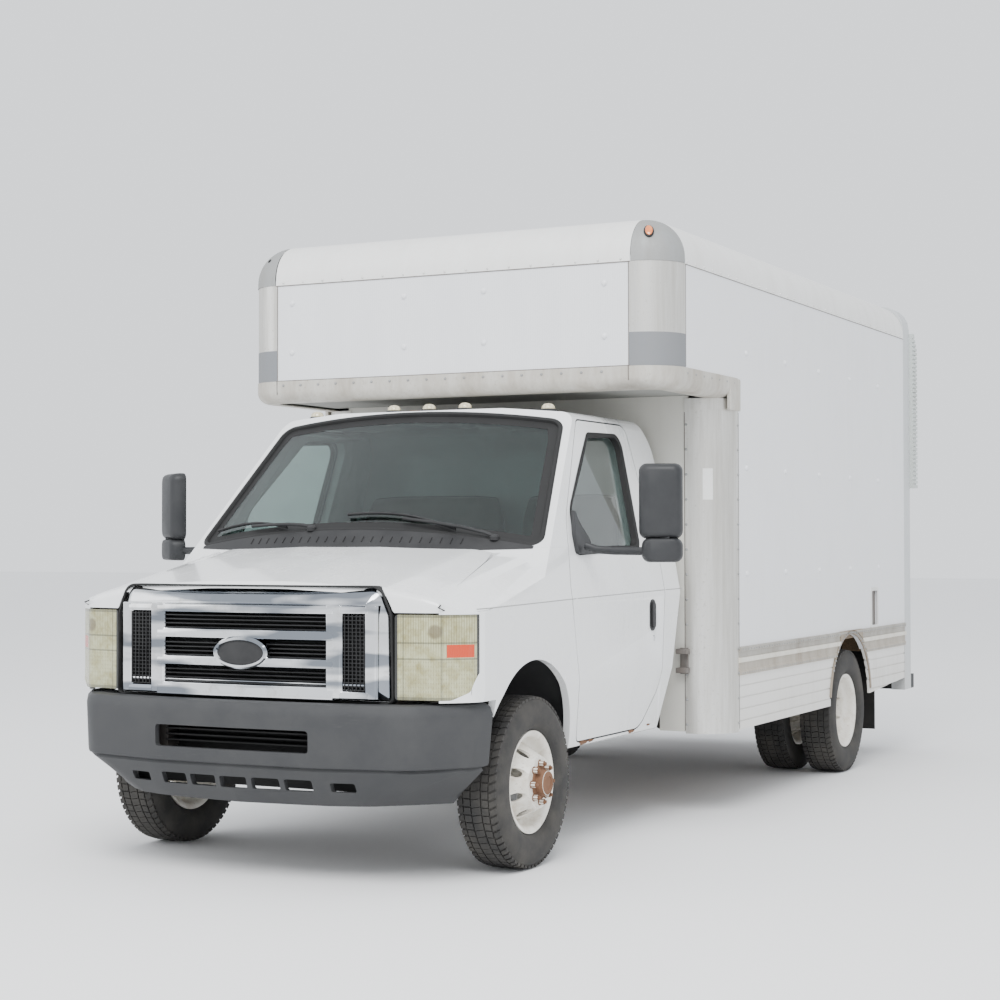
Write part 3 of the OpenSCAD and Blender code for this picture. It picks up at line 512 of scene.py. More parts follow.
@dataclass(frozen=True)
class Planks:
    """Worn deck boards."""

    name: str = "deck_boards"

    def build(self) -> Paint:
        """Make the material."""
        g = Graph(self.name)
        g.set(Roughness=0.75)
        grain = g.noise(10.0, 8.0, 0.7, stretch=(9.0, 0.5, 9.0))
        boards = g.math("SINE", g.times(g.part(Axis.X), math.tau / 0.28))
        seam = g.span(boards, 0.97, 1.0)
        wood = g.mix(g.span(grain, 0.3, 0.7), (0.36, 0.26, 0.16), (0.17, 0.12, 0.08))
        boarded = g.mix(seam, wood, (0.05, 0.04, 0.03))
        g.link(g.mix(g.over(g.part(Axis.Z), 2.0), boarded, (0.30, 0.30, 0.28)), "Base Color")
        g.bump(grain, 0.001, 0.5)
        return g.material


Finish = Enamel | Alloy | Chrome | Moulding | Glazing | Lens | Ribbed | RustyWheel | Cloth | Planks


class Paints:
    """Every finish on the truck, made once and looked up by name."""

    def __init__(self) -> None:
        """List the finishes."""
        finishes: list[Finish] = [
            Enamel("cab_white", (0.84, 0.85, 0.85), rust_share=0.55),
            Enamel("panel_white", (0.82, 0.83, 0.85), rough=0.3, coat=0.3, dirt_share=0.12,
                   low_dirt=(1.3, 0.6)),
            Enamel("skirt_white", (0.80, 0.79, 0.76), rough=0.35, coat=0.2, dirt_share=0.5,
                   low_dirt=(0.9, 0.4)),
            Enamel("bulkhead_beige", (0.62, 0.61, 0.56), rough=0.5, coat=0.0, dirt_share=0.35),
            Enamel("post_grey", (0.55, 0.57, 0.58), rough=0.4, coat=0.1, dirt_share=0.35),
            Enamel("door_white", (0.78, 0.79, 0.79), rough=0.35, coat=0.2, dirt_share=0.25),
            Enamel("chassis_black", (0.03, 0.03, 0.032), rough=0.5, coat=0.1,
                   dirt=(0.16, 0.13, 0.10), dirt_share=0.6),
            Alloy("rail_silver", (0.80, 0.80, 0.78), stain_share=0.35, metallic=0.55, rough=0.34),
            Alloy("rail_white", (0.86, 0.86, 0.84), stain_share=0.18, metallic=0.1, rough=0.35),
            Alloy("rail_dirty", (0.60, 0.58, 0.53), stain=(0.30, 0.25, 0.19), stain_share=0.75,
                  metallic=0.5, rough=0.45),
            # Strong upright streaks: partly real stains, partly painted shade for the dark bands
            # round the curved corners.
            Alloy("corner_silver", (0.70, 0.69, 0.66), stain=(0.36, 0.34, 0.29), stain_share=0.75,
                  metallic=0.8, rough=0.3,
                  stretch=(2.2, 2.2, 0.12)),
            Alloy("cast_grey", (0.33, 0.34, 0.34), stain=(0.30, 0.28, 0.25), stain_share=0.5,
                  metallic=0.4, rough=0.55),
            Alloy("band_grey", (0.20, 0.21, 0.225), stain_share=0.2, metallic=0.2, rough=0.5),
            Alloy("guard_alloy", (0.62, 0.66, 0.64), stain_share=0.35, metallic=0.5),
            Alloy("cast_iron", (0.22, 0.21, 0.20), stain=(0.16, 0.10, 0.06), metallic=0.6,
                  rough=0.6),
            Alloy("exhaust_scale", (0.34, 0.27, 0.22), stain=(0.20, 0.11, 0.06), metallic=0.5,
                  rough=0.65),
            Alloy("rub_top", (0.42, 0.40, 0.36), stain=(0.24, 0.21, 0.17), stain_share=0.7,
                  metallic=0.4, rough=0.5),
            Alloy("rub_low", (0.46, 0.42, 0.36), stain=(0.27, 0.22, 0.16), stain_share=0.7,
                  metallic=0.3, rough=0.55),
            Alloy("bead_cream", (0.74, 0.71, 0.63), stain=(0.45, 0.40, 0.31), stain_share=0.5,
                  metallic=0.2),
            Alloy("patch_brown", (0.33, 0.28, 0.22), stain=(0.20, 0.14, 0.09), stain_share=0.7,
                  metallic=0.2, rough=0.6),
            Alloy("rust", (0.20, 0.10, 0.055), stain=(0.09, 0.05, 0.03), metallic=0.2, rough=0.8,
                  dents=0.003),
            Chrome(),
            Moulding("bumper_grey", (0.036, 0.037, 0.039), fade=(0.09, 0.09, 0.088),
                     fade_share=0.35, rough=0.55),
            Moulding("trim_black", (0.016, 0.016, 0.017), fade=(0.07, 0.07, 0.07), rough=0.45),
            Moulding("mirror_black", (0.022, 0.023, 0.025), fade=(0.06, 0.06, 0.06), rough=0.4),
            Moulding("gasket_black", (0.010, 0.010, 0.010), fade=(0.04, 0.04, 0.04), rough=0.6),
            # Grey of the line laid along the pressed crease: painted shade.
            Moulding("seam_grey", (0.33, 0.33, 0.32), fade=(0.45, 0.45, 0.44), rough=0.5),
            Moulding("dash_plastic", (0.11, 0.105, 0.10), fade=(0.2, 0.19, 0.18), fade_share=0.3),
            Moulding("tyre_rubber", (0.030, 0.029, 0.028), fade=(0.13, 0.12, 0.105),
                     fade_share=0.55, rough=0.75,
                     grain=0.0006, grain_scale=160.0),
            Moulding("flap_rubber", (0.018, 0.018, 0.018), fade=(0.10, 0.09, 0.08), rough=0.8),
            Glazing("screen_glass", (0.30, 0.38, 0.36)),
            Glazing("door_glass", (0.62, 0.70, 0.68)),
            Lens("amber_lens", (0.85, 0.25, 0.06), (0.60, 0.13, 0.03), flute=60.0),
            Lens("dome_lens", (0.72, 0.66, 0.46), (0.45, 0.38, 0.22), flute=130.0),
            Lens("red_lens", (0.62, 0.03, 0.03), (0.35, 0.01, 0.01), flute=100.0),
            Ribbed(), RustyWheel(), Cloth(), Planks(),
        ]
        self.made = {finish.name: finish.build() for finish in finishes}

    def __getitem__(self, name: str) -> Paint:
        """Look a finish up."""
        return self.made[name]


# ---- meshes ---------------------------------------------------------------------


def corner_arc(a: Point, p: Point, b: Point, radius: float, steps: int) -> list[Point]:
    """Round one corner of an outline.

    Args:
        a: The corner before.
        p: The corner.
        b: The corner after.
        radius: Its radius.
        steps: How many chords the arc has.

    Returns:
        The arc's points.
    """
    if radius <= 0:
        return [p]
    u = (Vector(a) - Vector(p)).normalized()
    v = (Vector(b) - Vector(p)).normalized()
    half = math.acos(max(-1.0, min(1.0, u.dot(v)))) / 2
    if half > math.radians(89.3):
        return [p]
    reach = radius / math.tan(half)
    centre = Vector(p) + (u + v).normalized() * radius / math.sin(half)
    start = Vector(p) + u * reach - centre
    turn = (math.pi - 2 * half) * (-1 if u.x * v.y - u.y * v.x > 0 else 1)
    points = []
    for i in range(steps + 1):
        angle = turn * i / steps
        c, s = math.cos(angle), math.sin(angle)
        points.append((centre.x + start.x * c - start.y * s, centre.y + start.x * s + start.y * c))
    return points


def rounded(corners: Sequence[Corner], steps: int = 5) -> list[Point]:
    """Turn corners [x, y, radius] into an outline."""
    count = len(corners)
    result: list[Point] = []
    for i, (x, y, radius) in enumerate(corners):
        before, after = corners[i - 1], corners[(i + 1) % count]
        result += corner_arc((before[0], before[1]), (x, y), (after[0], after[1]), radius, steps)
    return result


def rectangle(x0: float, y0: float, x1: float, y1: float, radius: float = 0.0,
              steps: int = 5) -> list[Point]:
    """A rounded rectangle's outline."""
    return rounded([(x0, y0, radius), (x1, y0, radius), (x1, y1, radius), (x0, y1, radius)], steps)


class Shape:
    """A mesh in the making; every point goes in as millimetres from the front axle."""

    def __init__(self) -> None:
        """Start empty."""
        self.bm = bmesh.new()

    def ring(self, points: Iterable[Sequence[float]]) -> list[bmesh.types.BMVert]:
        """Add loose vertices."""
        return [self.bm.verts.new(at(*p)) for p in points]

    def loft(self, rings: Sequence[Sequence[Sequence[float]]], closed: bool = True,
             caps: bool = True,
             around: bool = False) -> None:
        """Skin rings of equal length.

        Args:
            rings: Each ring's points.
            closed: Whether a ring joins its own start.
            caps: Whether the two end rings are filled.
            around: Whether the last ring joins the first.
        """
        rows = [self.ring(r) for r in rings]
        count = len(rows[0])
        pairs = list(zip(rows, rows[1:])) + ([(rows[-1], rows[0])] if around else [])
        for first, second in pairs:
            for i in range(count if closed else count - 1):
                j = (i + 1) % count
                self.bm.faces.new((first[i], first[j], second[j], second[i]))
        if caps and closed and not around:
            self.bm.faces.new(rows[0][::-1])
            self.bm.faces.new(rows[-1])

    def prism(self, axis: Axis, outline: Sequence[Point], low: float, high: float) -> None:
        """Extrude an outline. It lies in YZ, XZ or XY for axis X, Y or Z."""
        def put(point: Point, depth: float) -> Corner:
            """Set the outline's point at a depth."""
            u, v = point
            return ((depth, u, v), (u, depth, v), (u, v, depth))[axis.value]
        self.loft([[put(p, low) for p in outline], [put(p, high) for p in outline]])

    def box(self, low: Sequence[float], high: Sequence[float]) -> None:
        """Add a block between two corners."""
        self.prism(Axis.Z, [(low[0], low[1]), (high[0], low[1]), (high[0], high[1]),
                            (low[0], high[1])], low[2], high[2])

    def lathe(self, profile: Sequence[Point], centre: Sequence[float], axis: Axis = Axis.X,
              steps: int = 64,
              around: bool = False) -> None:
        """Turn a profile of (radius, along) points about an axis through centre."""
        rings = []
        for radius, along in profile:
            ring = []
            for u, v in unit_circle(steps):
                c, s = radius * u, radius * v
                offset = ((along, c, s), (s, along, c), (c, s, along))[axis.value]
                ring.append([centre[k] + offset[k] for k in range(3)])
            rings.append(ring)
        self.loft(rings, caps=not around, around=around)

    def tube(self, path: Sequence[Sequence[float]], radius: float, sides: int = 10) -> None:
        """Sweep a round bar along a path."""
        rings = []
        points = [Vector(p) for p in path]
        up = Vector((0, 0, 1))
        for i, point in enumerate(points):
            ahead = (points[min(i + 1, len(points) - 1)] - points[max(i - 1, 0)]).normalized()
            if abs(ahead.dot(up)) > 0.95:
                up = Vector((1, 0, 0))
            side = ahead.cross(up).normalized()
            top = side.cross(ahead)
            rings.append([point + (side * c + top * s) * radius for c, s in unit_circle(sides)])
        self.loft(rings)

    def object(self, name: str, material: Paint) -> Item:
        """Close the mesh off as a Blender object with faces outward."""
        bmesh.ops.remove_doubles(self.bm, verts=self.bm.verts, dist=1e-6)
        bmesh.ops.recalc_face_normals(self.bm, faces=self.bm.faces)
        mesh = bpy.data.meshes.new(name)
        self.bm.to_mesh(mesh)
        self.bm.free()
        return place(name, mesh, material)


def place(name: str, mesh: bpy.types.Mesh, material: Paint | None) -> Item:
    """Put a mesh in the scene at the origin, under one material."""
    obj = bpy.data.objects.new(name, mesh)
    bpy.context.scene.collection.objects.link(obj)
    if material is not None:
        mesh.materials.clear()
        mesh.materials.append(material)
    return obj


def soften(obj: Item, angle: float, bevel: float = 0.0, segments: int = 2) -> None:
    """Shade smooth below an angle in degrees, and round the edges above it by bevel metres."""
    obj.data.shade_smooth()
    obj.data.set_sharp_from_angle(angle=math.radians(angle))
    if bevel > 0:
        tool = obj.modifiers.new("edges", "BEVEL")
        tool.width = bevel
        tool.segments = segments
        tool.limit_method = "ANGLE"
        tool.angle_limit = math.radians(angle)
        tool.harden_normals = False


def hand_in(obj: Item, body: str, replaces: Sequence[str] = ()) -> Item:
    """Attach a finished piece to its body, hide the nodes it stands for, and log it.

    Args:
        obj: The piece.
        body: The body it moves with.
        replaces: The nodes it stands for.

    Returns:
        The piece.
    """
    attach(obj, body)
    if replaces:
        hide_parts(*replaces)
    LOG.info("%s: %d faces on %s", obj.name, len(obj.data.polygons), body)
    return obj


def merged_copy(node: Item, name: str) -> bpy.types.Mesh:
    """Copy a node's mesh with its loose triangles joined and flat areas made whole."""
    bm = bmesh.new()
    bm.from_mesh(node.data)
    bmesh.ops.remove_doubles(bm, verts=bm.verts, dist=2e-5)
    bmesh.ops.dissolve_limit(bm, angle_limit=math.radians(0.4), verts=bm.verts, edges=bm.edges)
    mesh = bpy.data.meshes.new(name)
    bm.to_mesh(mesh)
    bm.free()
    return mesh


def baked(obj: Item) -> bpy.types.Mesh:
    """An object's mesh with its modifiers applied."""
    bpy.context.view_layer.update()
    graph = bpy.context.evaluated_depsgraph_get()
    return bpy.data.meshes.new_from_object(obj.evaluated_get(graph), preserve_all_data_layers=True,
                                           depsgraph=graph)


# ---- repeats by geometry nodes -----------------------------------------------------


class Repeat(Enum):
    """How a repeat lays its copies out."""

    ROUND = "round"
    ROW = "row"
    DOTS = "dots"


class Repeater:
    """Builds the node trees that repeat a shape, and turns their results into meshes."""

    def __init__(self) -> None:
        """Build one tree of each kind."""
        self.trees = {kind: self._tree(kind) for kind in Repeat}

    @staticmethod
    def _tree(kind: Repeat) -> bpy.types.NodeTree:
        """Build the tree of one kind: copies round X, in a row, or a dome at each vertex."""
        tree = bpy.data.node_groups.new(f"repeat_{kind.value}", "GeometryNodeTree")
        face = tree.interface
        face.new_socket("Geometry", in_out="OUTPUT", socket_type="NodeSocketGeometry")
        for name, sort in (("Geometry", "Geometry"), ("Finish", "Material"), ("Count", "Int"),
                           ("Step", "Vector"), ("Radius", "Float")):
            face.new_socket(name, in_out="INPUT", socket_type=f"NodeSocket{sort}")
        source = tree.nodes.new("NodeGroupInput").outputs
        sink = tree.nodes.new("NodeGroupOutput").inputs
        spread = tree.nodes.new("GeometryNodeInstanceOnPoints")
        link = tree.links.new
        if kind is Repeat.DOTS:
            dome = tree.nodes.new("GeometryNodeMeshUVSphere")
            dome.inputs["Segments"].default_value = 10
            dome.inputs["Rings"].default_value = 6
            link(source["Radius"], dome.inputs["Radius"])
            link(source["Geometry"], spread.inputs["Points"])
            link(dome.outputs["Mesh"], spread.inputs["Instance"])
            link(source["Step"], spread.inputs["Scale"])
        else:
            line = tree.nodes.new("GeometryNodeMeshLine")
            line.mode = "OFFSET"
            link(source["Count"], line.inputs["Count"])
            link(line.outputs["Mesh"], spread.inputs["Points"])
            link(source["Geometry"], spread.inputs["Instance"])
            if kind is Repeat.ROW:
                link(source["Step"], line.inputs["Offset"])
            else:
                line.inputs["Offset"].default_value = (0.0, 0.0, 0.0)
                index = tree.nodes.new("GeometryNodeInputIndex")
                turn = tree.nodes.new("ShaderNodeVectorMath")
                turn.operation = "SCALE"
                link(source["Step"], turn.inputs[0])
                link(index.outputs["Index"], turn.inputs["Scale"])
                euler = tree.nodes.new("FunctionNodeEulerToRotation")
                link(turn.outputs["Vector"], euler.inputs["Euler"])
                link(euler.outputs["Rotation"], spread.inputs["Rotation"])
        real = tree.nodes.new("GeometryNodeRealizeInstances")
        paint = tree.nodes.new("GeometryNodeSetMaterial")
        link(spread.outputs["Instances"], real.inputs["Geometry"])
        link(real.outputs["Geometry"], paint.inputs["Geometry"])
        link(source["Finish"], paint.inputs["Material"])
        link(paint.outputs["Geometry"], sink["Geometry"])
        return tree

    def run(self, kind: Repeat, seed: Item, finish: Paint, count: int = 1,
            step: Sequence[float] = (1.0, 1.0, 1.0), radius: float = 0.01) -> Item:
        """Repeat a seed object and keep the result as its plain mesh.

        Args:
            kind: The layout.
            seed: The object whose mesh is repeated, or whose vertices carry domes.
            finish: The material of the copies.
            count: How many copies.
            step: Metres from copy to copy, radians from copy to copy, or the domes' stretch.
            radius: The domes' radius.

        Returns:
            The seed object, holding the result.
        """
        tree = self.trees[kind]
        tool = seed.modifiers.new("repeat", "NODES")
        tool.node_group = tree
        values = {"Finish": finish, "Count": int(count), "Step": tuple(float(s) for s in step),
                  "Radius": float(radius)}
        for item in tree.interface.items_tree:
            if item.item_type == "SOCKET" and item.in_out == "INPUT" and item.name in values:
                tool[item.identifier] = values[item.name]
        mesh = baked(seed)
        seed.modifiers.remove(tool)
        old = seed.data
        seed.data = mesh
        bpy.data.meshes.remove(old)
        if not mesh.materials:
            mesh.materials.append(finish)
        return seed

    def domes(self, name: str, points: Iterable[Sequence[float]], finish: Paint, radius: float,
              stretch: Sequence[float] = (1.0, 1.0, 1.0)) -> Item:
        """Set a dome at each point; lengths in millimetres."""
        mesh = bpy.data.meshes.new(name)
        mesh.from_pydata([at(*p) for p in points], [], [])
        obj = place(name, mesh, None)
        self.run(Repeat.DOTS, obj, finish, step=stretch, radius=radius / MM_PER_M)
        obj.data.name = name
        obj.data.shade_smooth()
        return obj


@dataclass
class Shop:
    """What every sub-assembly needs: the frame, the finishes and the repeater."""

    frame: dict
    paints: Paints
    repeater: Repeater = field(default_factory=Repeater)

    def panel(self, node: str, finish: str, body: str, angle: float = 28.0,
              bevel: float = 0.0) -> Item:
        """Stand a smooth-shaded copy in for a node."""
        mesh = merged_copy(self.frame["nodes"][node], f"{node}_skin")
        obj = place(f"{node}_skin", mesh, self.paints[finish])
        soften(obj, angle, bevel)
        return hand_in(obj, body, [node])

    def piece(self, name: str, shape: Shape, finish: str, slot: str, body: str = "chassis",
              replaces: Sequence[str] = (), angle: float = 30.0, bevel: float = 0.0,
              segments: int = 2) -> Item:
        """Finish a shape as a piece."""
        obj = shape.object(name, self.paints[finish])
        soften(obj, angle, bevel / MM_PER_M, segments)
        return hand_in(obj, body, replaces)

    def domes(self, name: str, points: Iterable[Sequence[float]], finish: str, slot: str,
              radius: float,
              stretch: Sequence[float] = (1.0, 1.0, 1.0), body: str = "chassis") -> Item:
        """Set rivets or studs at points."""
        obj = self.repeater.domes(name, points, self.paints[finish], radius, stretch)
        return hand_in(obj, body)


# ---- curves of the body ------------------------------------------------------------


def inset(corners: Sequence[Corner], depth: float) -> list[Corner]:
    """Draw an anticlockwise outline of [x, y, radius] corners in by depth."""
    count = len(corners)
    result = []
    for i, (x, y, radius) in enumerate(corners):
        before, after = Vector(corners[i - 1][:2]), Vector(corners[(i + 1) % count][:2])
        here = Vector((x, y))
        e1, e2 = (here - before).normalized(), (after - here).normalized()
        n1, n2 = Vector((-e1.y, e1.x)), Vector((-e2.y, e2.x))
        moved = here + (n1 + n2) * depth / (1 + n1.dot(n2))
        bend = e1.x * e2.y - e1.y * e2.x
        result.append((moved.x, moved.y,
                       max(1.0, radius - (depth if bend > 0 else -depth)) if radius > 0 else 0.0))
    return result


def densify(outline: Sequence[Point], longest: float) -> list[Point]:
    """Split an outline's long edges."""
    result: list[Point] = []
    for i, (x, y) in enumerate(outline):
        nx, ny = outline[(i + 1) % len(outline)]
        parts = max(1, math.ceil(math.hypot(nx - x, ny - y) / longest))
        result += [(x + (nx - x) * k / parts, y + (ny - y) * k / parts) for k in range(parts)]
    return result


@dataclass
class CabLines:
    """The cab's governing curves, in millimetres."""

    half_width: float = 1008.0
    nose_y: float = -742.0
    nose_z: float = 1240.0
    nose_rise: float = 11.0
    nose_foot: float = 1121.0
    mouth_top: float = 1232.0
    mouth_half: float = 646.0
    mouth_shoulder: float = 692.0
    hood_front_half: float = 895.0
    hood_back_half: float = 745.0
    hood_run: float = 802.0
    screen_r: float = 3800.0
    screen_foot: Point = (207.0, 1383.0)
    screen_half: float = 920.0
    screen_run: float = 809.0
    screen_head_half: float = 772.0
    side: list[Corner] = field(default_factory=lambda: [
        (958, 476, 12), (1008, 780, 160), (1008, 1150, 70), (966, 1335, 260), (803, 2020, 75),
        (300, 2060, 900)])
    window: list[Corner] = field(default_factory=lambda: [
        (472, 1348, 40), (1244, 1376, 50), (1303, 1934, 70), (905, 1922, 60), (520, 1560, 130)])

    door: list[Corner] = field(default_factory=lambda: [
        (470, 494, 40), (1215, 494, 150), (1402, 690, 220), (1453, 1162, 600), (1472, 1294, 300),
        (1400, 1990, 70), (815, 1990, 60), (455, 1520, 220), (392, 1330, 160), (332, 1165, 200)])

    def side_x(self, z: float) -> float:
        """The cab side's distance from the middle at a height."""
        line = rounded(self.side + [(0, 2060, 0), (0, 476, 0)], 8)
        return read_line([(height, x) for x, height in line], z, self.half_width)

    def hood_z(self, x: float, y: float) -> float:
        """The bonnet's height at a place in plan."""
        half = rounded([(0, 0, 0), (1048, 60, 0), (1048, 1050, 0), (1004, 1082, 90),
                        (860, 1164, 180), (640, 1214, 300),
                        (200, 1239, 900), (0, 1239.5, 0)], 8)
        line = sorted((px, pz) for px, pz in half if pz > 1060)
        drop = read_line(line, abs(x), self.nose_z) - self.nose_z
        rise = math.radians(self.nose_rise)
        return self.nose_z + math.tan(rise) * (y - self.nose_y) + drop / math.cos(rise)

    def nose_front(self, x: float) -> float:
        """How far forward the nose reaches at a distance from the middle."""
        half = rounded([(0, 300, 0), (1028, 480, 0), (1028, -452, 0), (988, -582, 90),
                        (880, -682, 90), (680, -718, 300),
                        (250, -742, 900), (0, -742, 0)], 8)
        line = sorted((px, py) for px, py in half if py < -560)
        return read_line(line, abs(x), self.nose_y)

    def glass(self, x: float, run: float, out: float) -> Corner:
        """A point on the windscreen's cylinder.

        Args:
            x: Distance from the middle.
            run: Distance up the slope from the foot.
            out: Distance off the surface.

        Returns:
            The point, in millimetres.
        """
        bulge = self.screen_r - math.sqrt(self.screen_r ** 2 - self.screen_half ** 2)
        slope = math.sqrt(0.5)
        y0, z0 = self.screen_foot[0] - bulge * slope, self.screen_foot[1] + bulge * slope
        turn = math.asin(max(-1.0, min(1.0, x / self.screen_r)))
        radius = self.screen_r + out
        return (radius * math.sin(turn),
                y0 + slope * (self.screen_r + run - radius * math.cos(turn)),
                z0 + slope * (run - self.screen_r + radius * math.cos(turn)))

    def screen_outline(self, depth: float) -> list[Point]:
        """The windscreen's edge in (x, run), drawn in by depth."""
        corners = [(-self.screen_half, 0, 60), (self.screen_half, 0, 60),
                   (self.screen_head_half, self.screen_run, 70),
                   (-self.screen_head_half, self.screen_run, 70)]
        return rounded(inset(corners, depth), 6)


def band(shape: Shape, rings: Sequence[Sequence[Sequence[float]]]) -> None:
    """Skin rings into a closed loop of any section."""
    shape.loft(rings, caps=False, around=True)


# ---- wheels ----------------------------------------------------------------------


@dataclass
class RoadWheel:
    """One tyre with its tread, and the nuts on its wheel."""

    name: str
    x: float
    y: float
    body: str
    radius: float = 372.0
    width: float = 210.0
    lip: float = 221.4
    pitches: int = 66

    def tyre(self, shop: Shop) -> list[Item]:
        """Build the carcass and the tread blocks."""
        half = self.width / 2
        shape = Shape()
        flank = [(self.lip, -73.6), (self.lip + 6, -82), (236, -90), (250, -98), (266, -103),
                 (290, -half),
                 (318, -104), (338, -99), (351, -93), (360, -84), (364, -72), (364.5, -40)]
        profile = flank + [(r, -a) for r, a in flank[::-1]] + [(212, 55), (212, -55)]
        ridged: list[Point] = []
        for (r0, a0), (r1, a1) in zip(profile, profile[1:] + profile[:1]):
            ridged.append((r0, a0))
            if 236 < r0 < 345 and abs(a0) > 80 and r1 != r0:
                middle = ((r0 + r1) / 2, (a0 + a1) / 2)
                ridged.append((middle[0], middle[1] + math.copysign(1.6, a0)))
        shape.lathe(ridged, (self.x, self.y, HUB_Z), steps=96, around=True)
        carcass = shape.object(f"{self.name}_carcass", shop.paints["tyre_rubber"])
        soften(carcass, 40)
        blocks = Shape()
        base, top = 362.5, self.radius - 0.6
        arc = math.tau / self.pitches
        ribs = [(-91, -63, 0.70, 0.18, 5.0), (-57, -27, 0.86, 0.0, 0.0),
                (-21, 21, 0.90, 0.12, 0.0), (27, 57, 0.86, 0.0, 0.0),
                (63, 91, 0.70, 0.18, 5.0)]
        for low, high, fill, lean, drop in ribs:
            outer_low = drop if low < 0 else 0.0
            outer_high = drop if high > 0 else 0.0
            a = arc * fill / 2
            shift = arc * lean
            rings = []
            for r_low, r_high in ((base - outer_low * 1.5, base - outer_high * 1.5),
                                  (top - outer_low, top - outer_high)):
                corners = ((low, r_low, -a - shift), (high, r_high, -a + shift),
                           (high, r_high, a + shift), (low, r_low, a - shift))
                rings.append([(x, r * math.sin(turn), r * math.cos(turn)) for x, r,
                              turn in corners])
            blocks.loft(rings)
        bmesh.ops.translate(blocks.bm, verts=blocks.bm.verts, vec=Vector((0, -DATUM.axle_y, 0)))
        tread = blocks.object(f"{self.name}_tread", shop.paints["tyre_rubber"])
        shop.repeater.run(Repeat.ROUND, tread, shop.paints["tyre_rubber"], count=self.pitches,
                          step=(arc, 0.0, 0.0))
        tread.data.transform(Matrix.Translation(at(self.x, self.y, HUB_Z)))
        soften(tread, 30)
        return [carcass, tread]

    def nuts(self, shop: Shop, face: float, outward: int) -> Item:
        """Build the ring of wheel nuts.

        Args:
            shop: The finishes and tools.
            face: How far the wheel face lies from the tyre's middle.
            outward: The sign of X that the face looks to.

        Returns:
            The nuts.
        """
        shape = Shape()
        for sides, size, low, high in ((12, 17, -1, 3), (6, 13, 3, 23), (6, 8, 23, 32)):
            outline = [(size * c, BOLT_CIRCLE + size * s) for c, s in unit_circle(sides)]
            shape.prism(Axis.X, outline, face + low, face + high)
        bmesh.ops.translate(shape.bm, verts=shape.bm.verts, vec=Vector((0, -DATUM.axle_y, 0)))
        nuts = shape.object(f"{self.name}_nuts", shop.paints["rust"])
        shop.repeater.run(Repeat.ROUND, nuts, shop.paints["rust"], count=BOLT_COUNT,
                          step=(math.tau / BOLT_COUNT, 0.0, 0.0))
        if outward < 0:
            nuts.data.transform(Matrix.Scale(-1, 4, Vector((1, 0, 0))))
            nuts.data.flip_normals()
        nuts.data.transform(Matrix.Translation(at(self.x, self.y, HUB_Z)))
        soften(nuts, 25)
        return hand_in(nuts, self.body)

    def hub(self, shop: Shop, face: float, outward: int) -> Item:
        """Build the rusted hub that stands out of the wheel's middle."""
        shape = Shape()
        profile = [(0.1, face - 2), (76, face - 2), (74, face + 4), (57, face + 6),
                   (55, face + 34), (48, face + 43),
                   (30, face + 45), (28, face + 41), (0.1, face + 41)]
        shape.lathe([(r, outward * a) for r, a in profile], (self.x, self.y, HUB_Z), steps=40)
        return shop.piece(f"{self.name}_hub", shape, "rust", "exhaust_steel", self.body, angle=35)


@dataclass
class RunningGear:
    """All six wheels."""

    front_x: float = 885.0
    rear_x: float = 1078.0
    inner_x: float = 788.0
    wheelbase: float = 4012.0

    def build(self, shop: Shop) -> None:
        """Build tyres, wheels and nuts on both sides."""
        for side in SIDES:
            sign = side.value
            body = f"front_{side.word}_wheel"
            wheel = RoadWheel(f"front_{side.word}", sign * self.front_x, 0, body)
            for piece in wheel.tyre(shop):
                hand_in(piece, body, [f"front_tyre_{side.word}"])
            shop.panel(f"front_wheel_{side.word}", "wheel_enamel", body, 32)
            wheel.nuts(shop, FRONT_WHEEL_FACE, sign)
            wheel.hub(shop, FRONT_WHEEL_FACE, sign)
            body = f"rear_{side.word}_wheels"
            for place_name, x in (("outer", self.rear_x), ("inner", self.inner_x)):
                wheel = RoadWheel(f"rear_{side.word}_{place_name}", sign * x, self.wheelbase, body)
                for piece in wheel.tyre(shop):
                    hand_in(piece, body, [f"rear_tyres_{side.word}"])
            wheel.nuts(shop, REAR_WHEEL_FACE, sign)
            wheel.hub(shop, REAR_WHEEL_FACE, sign)
            shop.panel(f"rear_wheels_{side.word}", "wheel_enamel", body, 32)


# ---- cab --------------------------------------------------------------------------


